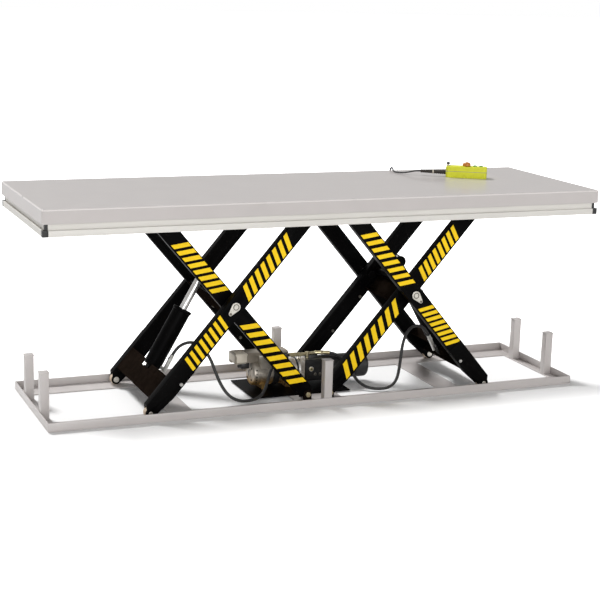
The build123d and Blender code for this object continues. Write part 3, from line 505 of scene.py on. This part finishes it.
def bolt_head(shape, start, way, radius, height, sides=6):
    """A bolt's head with its chamfered rim."""
    turned(shape, start, way, [(0, 0), (0, radius), (0.75 * height, radius), (height, 0.86 * radius),
                               (height, 0)], sides)


# ---- arms ----
def arm_place(side, kind, rear=False, out=None):
    """From an arm's own measures, along it, across it and out of its outer face, to the frame."""
    s = SIDES[side]
    foot = Vector((-s * BASE_PIVOT.x, 0, BASE_PIVOT.z)) if kind == "inner" else Vector(
        (-s * ROLLER_PIVOT.x, 0, ROLLER_PIVOT.z))
    lean = s if kind == "inner" else -s
    along = Vector((lean * abs(RAISED.x), 0, RAISED.z))
    over = Vector((-lean * RAISED.z, 0, abs(RAISED.x)))
    face = (INNER_FACE if kind == "inner" else OUTER_FACE) if out is None else out
    facing = Vector((0, 1 if rear else -1, 0))
    turn = Matrix((along, over, facing)).transposed().to_4x4()
    turn.translation = foot + facing * face
    return turn


def bar_row_tree():
    """Geometry nodes that repeat one slanted bar along a row."""
    tree = bpy.data.node_groups.new("bar_row", "GeometryNodeTree")
    for label, kind in (("Count", "Int"), ("Pitch", "Float"), ("Bar", "Vector"), ("Slant", "Float"),
                        ("Film", "Material")):
        tree.interface.new_socket(name=label, in_out="INPUT", socket_type="NodeSocket" + kind)
    tree.interface.new_socket(name="Bars", in_out="OUTPUT", socket_type="NodeSocketGeometry")
    nodes, links = tree.nodes, tree.links
    given = nodes.new("NodeGroupInput")
    step = nodes.new("ShaderNodeCombineXYZ")
    row = nodes.new("GeometryNodeMeshLine")
    bar = nodes.new("GeometryNodeMeshCube")
    where = nodes.new("GeometryNodeInputPosition")
    parts = nodes.new("ShaderNodeSeparateXYZ")
    lean = nodes.new("ShaderNodeMath")
    lean.operation = "MULTIPLY"
    push = nodes.new("ShaderNodeCombineXYZ")
    sheared = nodes.new("GeometryNodeSetPosition")
    placed = nodes.new("GeometryNodeInstanceOnPoints")
    real = nodes.new("GeometryNodeRealizeInstances")
    painted = nodes.new("GeometryNodeSetMaterial")
    made = nodes.new("NodeGroupOutput")
    links.new(given.outputs["Pitch"], step.inputs["X"])
    links.new(given.outputs["Count"], row.inputs["Count"])
    links.new(step.outputs[0], row.inputs["Offset"])
    links.new(given.outputs["Bar"], bar.inputs["Size"])
    links.new(where.outputs[0], parts.inputs[0])
    links.new(parts.outputs["Y"], lean.inputs[0])
    links.new(given.outputs["Slant"], lean.inputs[1])
    links.new(lean.outputs[0], push.inputs["X"])
    links.new(bar.outputs["Mesh"], sheared.inputs["Geometry"])
    links.new(push.outputs[0], sheared.inputs["Offset"])
    links.new(row.outputs[0], placed.inputs["Points"])
    links.new(sheared.outputs[0], placed.inputs["Instance"])
    links.new(placed.outputs[0], real.inputs[0])
    links.new(real.outputs[0], painted.inputs["Geometry"])
    links.new(given.outputs["Film"], painted.inputs["Material"])
    links.new(painted.outputs[0], made.inputs["Bars"])
    return tree


def bar_row(tree, first, pitch, width, slant):
    """The mesh of a row of bars along x; slant is how far a bar's upper end runs ahead of its lower."""
    low, high = BAR_ENDS
    holder = bpy.data.objects.new("bars", bpy.data.meshes.new("bars"))
    bpy.context.scene.collection.objects.link(holder)
    row = holder.modifiers.new("bars", "NODES")
    row.node_group = tree
    sockets = {item.name: item.identifier for item in tree.interface.items_tree}
    row[sockets["Count"]] = BARS
    row[sockets["Pitch"]] = pitch
    row[sockets["Bar"]] = (width, high - low, SKIN)
    row[sockets["Slant"]] = slant / (high - low)
    row[sockets["Film"]] = M["hazard_yellow"]
    mesh = applied(holder).data
    mesh.transform(Matrix.Translation((first, (low + high) / 2, SKIN / 2)))
    bpy.data.objects.remove(holder)
    return mesh


BARS = 8                       # in one row
BAR_ENDS = (-0.033, 0.036)     # across the arm, from its middle
# first bar, pitch, width along the arm, slant, for the lower and the upper row of each arm
FILMS = {
    ("left", "inner"): ((0.090, 0.0524, 0.029, -0.050), (0.696, 0.0399, 0.024, -0.043)),
    ("left", "outer"): ((0.284, 0.0336, 0.018, 0.018), (0.697, 0.0416, 0.024, 0.035)),
    ("right", "outer"): ((0.290, 0.0331, 0.020, -0.037), (0.696, 0.0440, 0.024, -0.043)),
    ("right", "inner"): ((0.135, 0.0536, 0.029, 0.045), (0.726, 0.0354, 0.022, 0.028)),
}


def make_films():
    """Plain slanted hazard bars on the outer face of each arm."""
    tree = bar_row_tree()
    for (side, kind), rows in FILMS.items():
        for rear in (False, True):
            shape = bmesh.new()
            for row in rows:
                shape.from_mesh(bar_row(tree, *row))
            bmesh.ops.transform(shape, matrix=arm_place(side, kind, rear), verts=shape.verts)
            bmesh.ops.recalc_face_normals(shape, faces=shape.faces)
            mesh = bpy.data.meshes.new("film")
            shape.to_mesh(mesh)
            shape.free()
            where = "rear" if rear else "front"
            piece(f"{side}_{kind}_{where}_film", mesh, M["hazard_yellow"], f"{side}_{kind}_arms",
                  smooth=False)


def make_arms():
    """Arms, cross members, cylinders and rollers with rounded edges."""
    for side in SIDES:
        for where in ("front", "rear"):
            softened(f"{side}_inner_{where}_arm", 0.0032, M["arm_paint"], 3)
            softened(f"{side}_outer_{where}_arm", 0.0028, M["arm_paint"], 3)
        softened(f"{side}_outer_cross_plate", 0.0022, M["worn_black"], 3)
        softened(f"{side}_inner_cross_tube", 0.0015, M["arm_paint"])
        softened(f"{side}_cylinder_barrel", 0.0015, M["arm_paint"])
        softened(f"{side}_outer_pins", 0.0012, M["pin_metal"])
        softened(f"{side}_inner_axles", 0.0010, M["zinc"])
        dress(f"{side}_cylinder_rod", M["chrome"])
        dress(f"{side}_port_fitting", M["zinc"])
        for level in ("upper", "lower"):
            for where in ("front", "rear"):
                softened(f"{side}_{level}_{where}_roller", 0.0010, M["roller_nylon"])


ARM_BOLT = 0.0085              # radius of the heads on the arms
DOUBLER_BOLT = (0.186, -0.026)             # its place along and across the arm
INNER_BOLTS = ((0.266, -0.022), (0.488, -0.022))


def make_arm_bolts():
    """Bolts through the doublers, and the two bolt ends inside each rear inner arm."""
    for side in SIDES:
        for rear in (False, True):
            place = arm_place(side, "outer", rear, OUTER_FACE + DOUBLER)
            facing = place.to_3x3() @ Vector((0, 0, 1))

            def draw(shape, place=place, facing=facing):
                bolt_head(shape, place @ Vector((*DOUBLER_BOLT, 0)), facing, ARM_BOLT, 0.007, 24)

            where = "rear" if rear else "front"
            shell(f"{side}_doubler_{where}_bolt", draw, M["zinc"], f"{side}_outer_arms")
        place = arm_place(side, "inner", True, INNER_FACE - ARM_WIDTH)

        def draw_pair(shape, place=place):
            for spot in INNER_BOLTS:
                bolt_head(shape, place @ Vector((*spot, 0)), (0, -1, 0), ARM_BOLT, 0.009)

        shell(f"{side}_inner_rear_bolts", draw_pair, M["dull_zinc"], f"{side}_inner_arms")


LOCK_RING = [(-0.0004, 0.0105), (0.0008, 0.0105), (0.0014, 0.0125), (0.0008, 0.0145), (-0.0004, 0.0145)]
LOCK_BOLT = (0.0058, 0.0035)   # radius and height


def make_lock_bolts():
    """Shaft centre and tail bolt on each lock plate of the centre pins."""
    for side in SIDES:
        for rear in (False, True):
            place = arm_place(side, "outer", rear, OUTER_FACE + LOCK_PLATE)
            facing = place.to_3x3() @ Vector((0, 0, 1))

            def draw(shape, place=place, facing=facing):
                turned(shape, place @ Vector((ARM_LENGTH / 2, 0, 0)), facing, LOCK_RING, 40, True)
                tail = place @ Vector((ARM_LENGTH / 2 - LOCK_REACH, 0, 0))
                bolt_head(shape, tail, facing, *LOCK_BOLT)

            where = "rear" if rear else "front"
            shell(f"{side}_lock_{where}_bolts", draw, M["dull_zinc"], f"{side}_outer_arms")


FOLDED_ALONG = (0.538, 0.666)  # the folded plate's edges along the inner arms
FOLDED_ACROSS = (-0.038, -0.014)           # its face and the end of its lip, across them
FOLDED_PLATE = 0.006


def make_cross_plates():
    """Folded plate between the inner arms, on the low side of their cross tube."""
    inside = INNER_FACE - ARM_WIDTH - 0.0005
    start, end = FOLDED_ALONG
    face, lip = FOLDED_ACROSS
    for side in SIDES:
        place = arm_place(side, "inner", False, 0.0)

        def draw(shape, place=place):
            block(shape, (start, face, -inside), (end, face + FOLDED_PLATE, inside), place, 0.0012)
            block(shape, (start, face + 0.005, -inside), (start + FOLDED_PLATE, lip, inside), place, 0.0012)

        shell(f"{side}_inner_folded_plate", draw, M["worn_black"], f"{side}_inner_arms")


# ---- deck and base ----
def make_deck():
    """The deck with its apron: one folded shell, open below, its top and upright edges rounded."""
    low, high = DECK_LOW, DECK_HIGH
    inner_low = low + Vector((APRON, APRON, 0))
    inner_high = high - Vector((APRON, APRON, DECK_PLATE))

    def draw(shape):
        rings = []
        for a, b, height in ((low, high, high.z), (low, high, low.z), (inner_low, inner_high, low.z),
                             (inner_low, inner_high, inner_high.z)):
            corners = ((a.x, a.y), (b.x, a.y), (b.x, b.y), (a.x, b.y))
            rings.append([shape.verts.new((x, y, height)) for x, y in corners])
        shape.faces.new(rings[0])
        shape.faces.new(rings[-1])
        for upper, lower in zip(rings, rings[1:]):
            for i in range(4):
                shape.faces.new((upper[i - 1], upper[i], lower[i], lower[i - 1]))
        soft = [e for e in shape.edges if set(e.verts) <= set(rings[0])]
        soft += [e for e in shape.edges if {v in rings[0] for v in e.verts} == {True, False}]
        bmesh.ops.bevel(shape, geom=soft, offset=DECK_EDGE, segments=8, affect="EDGES", profile=0.5)

    # its rounded top edge carries a painted highlight in a lighter tint
    deck = shell("deck_shell", draw, M["deck_paint_with_edge_highlight"], "platform", smooth=False)
    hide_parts("platform_deck")


def make_frame():
    """Rails, posts, platform and trip frame."""
    for node, radius in (("side_rails", 0.0016), ("end_rails", 0.0016), ("base_cross_plates", 0.0012),
                         ("stop_posts", 0.0030), ("post_caps", 0.0010), ("platform_pivot_lugs", 0.0012)):
        softened(node, radius, M["frame_paint"], 3)
    softened("base_pivot_lugs", 0.0012, M["worn_black"])
    make_deck()
    dress("platform_ribs", M["frame_paint"])
    softened("trip_bars", 0.0012, M["aluminium_profile"])
    softened("trip_corners", 0.0015, M["black_plastic"])
    dress("trip_hangers", M["zinc"])
    softened("base_pivot_bolts", 0.0010, M["yellow_zinc"])
    softened("platform_pivot_bolts", 0.0010, M["yellow_zinc"])


# ---- power pack ----
def make_power_pack():
    """Motor, valve, tank and what is on them."""
    softened("power_pack_plate", 0.0010, M["arm_paint"])
    softened("motor", 0.0015, M["motor_alloy"])
    softened("terminal_box", 0.0015, M["box_beige"])
    softened("motor_clamp", 0.0010, M["black_plastic"])
    softened("valve_block", 0.0015, M["valve_body"])
    softened("oil_tank", 0.0015, M["black_plastic"])
    dress("power_pack_fittings", M["yellow_zinc"])
    make_motor_rings()
    make_motor_end()
    make_motor_ribs()
    make_terminal_details()
    make_valve_details()


MOTOR_FACE = Vector((MOTOR_LOW.x, MOTOR_AXIS.y, MOTOR_AXIS.z))
MOTOR_LONG = MOTOR_HIGH.x - MOTOR_LOW.x
# distances from the motor's face, height over the shell and finish
MOTOR_RINGS = {
    "motor_bell_ring": (0.022, 0.034, 0.0018, "motor_alloy"),
    "motor_flange_ring": (MOTOR_LONG - 0.012, MOTOR_LONG - 0.001, 0.004, "zinc"),
    "motor_gasket": (MOTOR_LONG - 0.020, MOTOR_LONG - 0.0125, 0.003, "black_plastic"),
}
HUB = [(0, 0), (0, 0.019), (0.002, 0.019), (0.004, 0.016), (0.004, 0)]
HUB_SLOT = ((-0.0051, -0.0035, -0.013), (-0.0039, 0.0035, 0.013))
RIB_ROWS = ((0.040, 0.098), (0.138, MOTOR_LONG - 0.024))
RIB_ANGLES = [*range(-70, 70, 10), *range(160, 250, 10)]   # none at the bottom and the top
RIB_SIZE = (0.0020, 0.0011)    # height over the shell and half the width
VENT_ROW = (0.0125, 0.0205)
VENT_ANGLES = (-24, -8, 8, 24, 40)
VENT_SIZE = (0.0006, 0.0028)
BELL_BOLT_ANGLES = (45, 135, 225, 315)
BELL_BOLT_CIRCLE = 0.040
BELL_BOLT = (0.0052, 0.004)    # radius and height


def make_motor_rings():
    """Rings round the end bell, the flange and the gasket of the motor."""
    for name, (low, high, rise, finish) in MOTOR_RINGS.items():
        root, top = MOTOR_SHELL - 0.002, MOTOR_SHELL + rise
        profile = [(low, root), (low, top - 0.001), (low + 0.001, top), (high - 0.001, top),
                   (high, top - 0.001), (high, root)]
        shell(name, lambda shape, profile=profile: turned(shape, MOTOR_FACE, (1, 0, 0), profile, 64, True),
              M[finish], "base")


def strips(shape, row, angles, size, soft):
    """Narrow blocks along the motor's shell, at each angle down from the front."""
    (low, high), (rise, half) = row, size
    for angle in angles:
        turn = Matrix.Translation(MOTOR_FACE) @ Matrix.Rotation(radians(angle), 4, "X")
        block(shape, (low, -MOTOR_SHELL - rise, -half), (high, -MOTOR_SHELL + 0.001, half), turn, soft)


def make_motor_ribs():
    """Cooling ribs along the shell and vents in the end bell."""
    def draw_ribs(shape):
        for row in RIB_ROWS:
            strips(shape, row, RIB_ANGLES, RIB_SIZE, 0.0004)

    shell("motor_ribs", draw_ribs, M["motor_alloy"], "base")
    shell("motor_vents", lambda shape: strips(shape, VENT_ROW, VENT_ANGLES, VENT_SIZE, 0.0003),
          M["black_plastic"], "base")


def make_motor_end():
    """Bolts, hub and hub slot on the motor's end bell."""
    def draw_bolts(shape):
        for angle in BELL_BOLT_ANGLES:
            turn = radians(angle)
            spot = MOTOR_FACE + BELL_BOLT_CIRCLE * Vector((0, -cos(turn), sin(turn)))
            bolt_head(shape, spot, (-1, 0, 0), *BELL_BOLT)

    shell("motor_bell_bolts", draw_bolts, M["dull_zinc"], "base")
    shell("motor_hub", lambda shape: turned(shape, MOTOR_FACE, (-1, 0, 0), HUB), M["motor_alloy"], "base")
    shell("motor_slot", lambda shape: block(shape, *HUB_SLOT, Matrix.Translation(MOTOR_FACE), 0.0003),
          M["black_plastic"], "base")


PLUG_NECK = [(0, 0), (0, 0.008), (0.012, 0.008), (0.014, 0.006), (0.014, 0)]
SIDE_BOX_ENDS = (-0.224, -0.146)


def make_terminal_details():
    """Pale end, black sleeve, small side box and cable plug of the terminal box."""
    low, high = (Vector(corner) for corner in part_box("terminal_box"))
    bottom = MOTOR_AXIS.z + MOTOR_SHELL - 0.010
    left, right = SIDE_BOX_ENDS
    boxes = (
        ("terminal_end", (low.x - 0.001, low.y - 0.001, bottom + 0.002),
         (low.x + 0.070, high.y + 0.001, high.z + 0.001), 0.012, "pale_beige"),
        ("terminal_sleeve", (high.x - 0.145, low.y - 0.0015, bottom + 0.004),
         (high.x + 0.0015, high.y + 0.0015, high.z - 0.009), 0.003, "black_plastic"),
        ("motor_side_box", (left, low.y - 0.036, bottom - 0.018),
         (right, low.y - 0.002, high.z - 0.014), 0.003, "steel_shade"),
    )
    for name, near, far, soft, finish in boxes:
        shell(name, lambda shape, near=near, far=far, soft=soft: block(shape, near, far, soft=soft),
              M[finish], "base")

    def draw_plug(shape):
        start = low.x + 0.036
        block(shape, (start, low.y + 0.010, bottom - 0.024),
              (MOTOR_LOW.x - 0.006, low.y + 0.038, bottom + 0.004), soft=0.003)
        turned(shape, (start, low.y + 0.024, bottom - 0.011), (-1, 0, 0), PLUG_NECK, 24)

    shell("motor_plug", draw_plug, M["black_plastic"], "base")


MANIFOLD_FRONT = MOTOR_AXIS.y - 0.044
MANIFOLD_BOLTS = ((0.001, 0.070), (0.001, 0.134))          # along the table and up
MANIFOLD_BOLT = (0.0055, 0.005)
MANIFOLD_ENDS = (-0.0115, 0.0135)
VALVE_FRONT = MOTOR_AXIS.y - 0.052
RING_SPOT = (0.043, VALVE_FRONT, 0.094)
RING_CORE = [(0, 0), (0, 0.0038), (0.0025, 0.0038), (0.0025, 0)]
RING_WASHER = [(0, 0.0088), (0, 0.0125), (0.0018, 0.0125), (0.0018, 0.0088)]
VALVE_CAPS = ((0.064, VALVE_FRONT, 0.066), (0.090, VALVE_FRONT, 0.066))
VALVE_CAP = [(0, 0), (0, 0.008), (0.004, 0.008), (0.005, 0.006), (0.005, 0)]


def make_valve_details():
    """Manifold bolts, the plate under the tee, the ring screw's core and ring, and two caps."""
    rear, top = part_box("valve_block")[1][1:]
    front = (0, -1, 0)

    def draw_bolts(shape):
        for x, z in MANIFOLD_BOLTS:
            bolt_head(shape, (x, MANIFOLD_FRONT, z), front, *MANIFOLD_BOLT)

    def draw_top(shape):
        block(shape, (MANIFOLD_ENDS[0], MANIFOLD_FRONT + 0.002, top - 0.001),
              (MANIFOLD_ENDS[1], rear - 0.002, top + 0.004), soft=0.001)

    def draw_caps(shape):
        for spot in VALVE_CAPS:
            turned(shape, spot, front, VALVE_CAP, 24)

    shell("manifold_bolts", draw_bolts, M["zinc"], "base")
    shell("manifold_top", draw_top, M["zinc"], "base")
    shell("ring_core", lambda shape: turned(shape, RING_SPOT, front, RING_CORE, 24),
          M["black_plastic"], "base")
    shell("ring_washer", lambda shape: turned(shape, RING_SPOT, front, RING_WASHER, 32, True),
          M["zinc"], "base")
    shell("valve_caps", draw_caps, M["dull_zinc"], "base")


# ---- hand control ----
# share of the stop button's height, and radius
STOP_DOME = [(0, 0), (0, 0.011), (0.30, 0.011), (0.33, 0.0195), (0.48, 0.0208), (0.68, 0.0195),
             (0.86, 0.0150), (0.96, 0.0085), (1, 0)]
SCREW = [(0, 0), (0, 0.0028), (0.0008, 0.0028), (0.0008, 0)]
HOOK_NECK = [(0, 0), (0, 0.0065), (0.009, 0.0055), (0.009, 0)]
HOOK = [(0, 0), (0.001, 0.0060), (0.004, 0.0090), (0.008, 0.0090), (0.0115, 0.0060), (0.013, 0)]
SEAM = (0.030, 0.032)          # bottom and top of the seam round the control
SEAM_PROUD = 0.0004
SCREW_INSET = (0.012, 0.009)
HOOK_INSET = 0.010


def make_stop_dome():
    """The mushroom of the stop button."""
    low, high = (Vector(corner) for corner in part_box("stop_button"))
    middle = (low + high) / 2
    profile = [(share * (high.z - low.z), radius) for share, radius in STOP_DOME]
    foot = (middle.x, middle.y, low.z)
    dome = shell("stop_dome", lambda shape: turned(shape, foot, (0, 0, 1), profile, 48), M["stop_orange"],
                 "stop_button")
    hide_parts("stop_button")


def make_control():
    """Hand control on the deck, with its seam, screws, hook and boot."""
    softened("control_body", 0.0060, M["control_yellow"], 4)
    softened("raise_button", 0.0005, M["key_green"])
    softened("lower_button", 0.0005, M["key_green"])
    make_stop_dome()
    middle = (CONTROL_LOW + CONTROL_HIGH) / 2
    place = Matrix.Translation((middle.x, middle.y, CONTROL_LOW.z)) @ Matrix.Rotation(CONTROL_TURN, 4, "Z")
    half, thick, top = CONTROL_HALF, CONTROL_THICK, CONTROL_HIGH.z - CONTROL_LOW.z
    up = (0, 0, 1)
    hook = place @ Vector((-half + HOOK_INSET, 0, top))

    def draw_seam(shape):
        long, wide = half + SEAM_PROUD, thick + SEAM_PROUD
        block(shape, (-long, -wide, SEAM[0]), (long, wide, SEAM[1]), place, 0.0003)

    def draw_screws(shape):
        x, y = half - SCREW_INSET[0], thick - SCREW_INSET[1]
        for spot in ((-x, -y), (-x, y), (x, -y), (x, y)):
            turned(shape, place @ Vector((*spot, top - 0.0002)), up, SCREW, 20)

    def draw_neck(shape):
        turned(shape, hook - Vector((0, 0, 0.001)), up, HOOK_NECK, 24)

    def draw_hook(shape):
        turned(shape, hook + Vector((0, 0, 0.006)), up, HOOK, 28)

    shell("control_seam", draw_seam, M["steel_shade"], "platform")
    shell("control_screws", draw_screws, M["dull_zinc"], "platform")
    shell("control_hook_neck", draw_neck, M["pale_beige"], "platform")
    shell("control_hook", draw_hook, M["black_plastic"], "platform")
    make_boot(place @ Vector((-half, 0, BOOT_HEIGHT)), place.to_3x3() @ Vector((-1, 0, 0)))


BOOT_RIBS = 12
BOOT_GROOVE = 0.0013
BOOT_BAND = (0.48, 0.53)       # shares of its length


def make_boot(start, way):
    """The ribbed rubber boot on the control's lead, with its pale band."""
    def radius(along):
        return BOOT_WIDE - (BOOT_WIDE - BOOT_NARROW) * along / BOOT_LENGTH

    def draw(shape):
        profile = [(0.0003, 0), (0.0003, BOOT_WIDE)]
        for i in range(1, BOOT_RIBS):
            along = i * BOOT_LENGTH / BOOT_RIBS
            wide, deep = radius(along), radius(along) - BOOT_GROOVE
            profile += [(along - 0.0022, wide), (along - 0.0014, deep), (along + 0.0014, deep),
                        (along + 0.0022, wide)]
        turned(shape, start, way, profile + [(BOOT_LENGTH, BOOT_NARROW), (BOOT_LENGTH, 0)], 32)

    made = shell("boot_ribbed", draw, M["boot_brown"], "platform")
    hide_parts("control_boot")

    def draw_band(shape):
        low, high = (share * BOOT_LENGTH for share in BOOT_BAND)
        turned(shape, start, way, [(low, radius(low) - 0.002), (low, radius(low) + 0.0007),
                                   (high, radius(high) + 0.0007), (high, radius(high) - 0.002)], 32, True)

    shell("boot_band", draw_band, M["pale_beige"], "platform")


# ---- hoses and the control's lead, in millimetres ----
LEFT_HOSE = [
    (-34, -8, 166), (-78, -22, 172), (-130, -52, 168), (-180, -84, 140), (-208, -106, 92), (-232, -132, 44),
    (-276, -172, 17), (-332, -194, 12), (-390, -196, 15), (-438, -184, 42), (-468, -156, 92),
    (-486, -128, 150), (-502, -106, 206), (-530, -84, 256), (-576, -66, 284), (-626, -56, 274),
    (-662, -50, 240), (-682, -48, 200),
]
RIGHT_HOSE = [
    (112, 14, 160), (152, 6, 160), (192, -16, 148), (222, -46, 116), (240, -82, 72), (258, -126, 32),
    (294, -168, 13), (346, -192, 11), (400, -190, 16), (444, -168, 44), (470, -138, 92),
    (488, -114, 150), (504, -96, 206), (532, -78, 256), (578, -64, 284), (628, -56, 274),
    (662, -50, 240), (682, -48, 200),
]
CONTROL_LEAD = [
    (724.280, 223.201, 1012.216), (703.708, 235.562, 1012.216), (680, 252, 1005), (656, 275, 998),
    (638, 306, 995.5), (634, 342, 995), (643, 373, 997), (653, 402, 1004), (659, 427.4, 1005.5),
    (661, 445, 988), (661, 445, 956.22),
]


def route_mesh(points, radius):
    """The mesh of a smooth line through a route, as a bare line, or as a tube if radius is given."""
    data = bpy.data.curves.new("route", "CURVE")
    data.dimensions = "3D"
    data.resolution_u = 12
    data.bevel_depth = radius
    data.bevel_resolution = 5
    data.use_fill_caps = True
    spline = data.splines.new("NURBS")
    spline.points.add(len(points) - 1)
    for point, (x, y, z) in zip(spline.points, points):
        point.co = (x / 1000, y / 1000, z / 1000, 1)
    spline.order_u = 3
    spline.use_endpoint_u = True
    holder = bpy.data.objects.new("route", data)
    mesh = bpy.data.meshes.new_from_object(holder)
    bpy.data.objects.remove(holder)
    return mesh


def line_points(points):
    """Points along a route's smooth line, and its length."""
    line = [v.co.copy() for v in route_mesh(points, 0.0).vertices]
    return line, sum((b - a).length for a, b in zip(line, line[1:]))


def make_cord(name, points, radius, node, body):
    """A mesh tube along a route, in place of its plain CAD tube."""
    made = piece(name, route_mesh(points, radius), M["black_rubber"], body)
    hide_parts(node)
    return made


CRIMP_NUT = (0.0118, 0.009)    # radius and height
CRIMP = 0.0100                 # radius of a crimped sleeve
CRIMP_GROOVE = 0.0086
CRIMP_START = 0.012
CRIMP_PITCH = 0.0056


def make_crimps(side, line):
    """Crimped ferrules at the two ends of a hose."""
    def draw(shape, start, way, grooves):
        bolt_head(shape, start, way, *CRIMP_NUT)
        profile = [(CRIMP_NUT[1], 0), (CRIMP_NUT[1], 0.0098)]
        for i in range(grooves):
            along = CRIMP_START + CRIMP_PITCH * i
            profile += [(along, CRIMP), (along + 0.001, CRIMP_GROOVE), (along + 0.0026, CRIMP_GROOVE),
                        (along + 0.0036, CRIMP)]
        end = CRIMP_START + CRIMP_PITCH * grooves
        profile += [(end + 0.002, CRIMP), (end + 0.003, 0.0088), (end + 0.003, 0)]
        turned(shape, start, way, profile, 28)

    first, last = line[0], line[-1]
    ahead, back = (line[4] - first).normalized(), (line[-5] - last).normalized()
    shell(f"{side}_pack_crimp", lambda shape: draw(shape, first, ahead, 5), M["yellow_zinc"], "base")
    shell(f"{side}_port_crimp", lambda shape: draw(shape, last, back, 2), M["zinc"], f"{side}_hose_run")


def make_cords():
    """The two hydraulic hoses and the hand control's lead."""
    for side, points in (("left", LEFT_HOSE), ("right", RIGHT_HOSE)):
        line, length = line_points(points)
        made = make_cord(f"{side}_hose_tube", points, HOSE, f"{side}_hose", None)
        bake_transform(made)
        make_crimps(side, line)
    line, length = line_points(CONTROL_LEAD)
    made = make_cord("control_lead_tube", CONTROL_LEAD, LEAD, "control_lead", "platform")
    clamp = softened("lead_clamp", 0.0010, M["black_plastic"])


make_camera()
make_surroundings()
M = make_materials()
make_arms()
make_films()
make_arm_bolts()
make_lock_bolts()
make_cross_plates()
make_frame()
make_power_pack()
make_control()
make_cords()
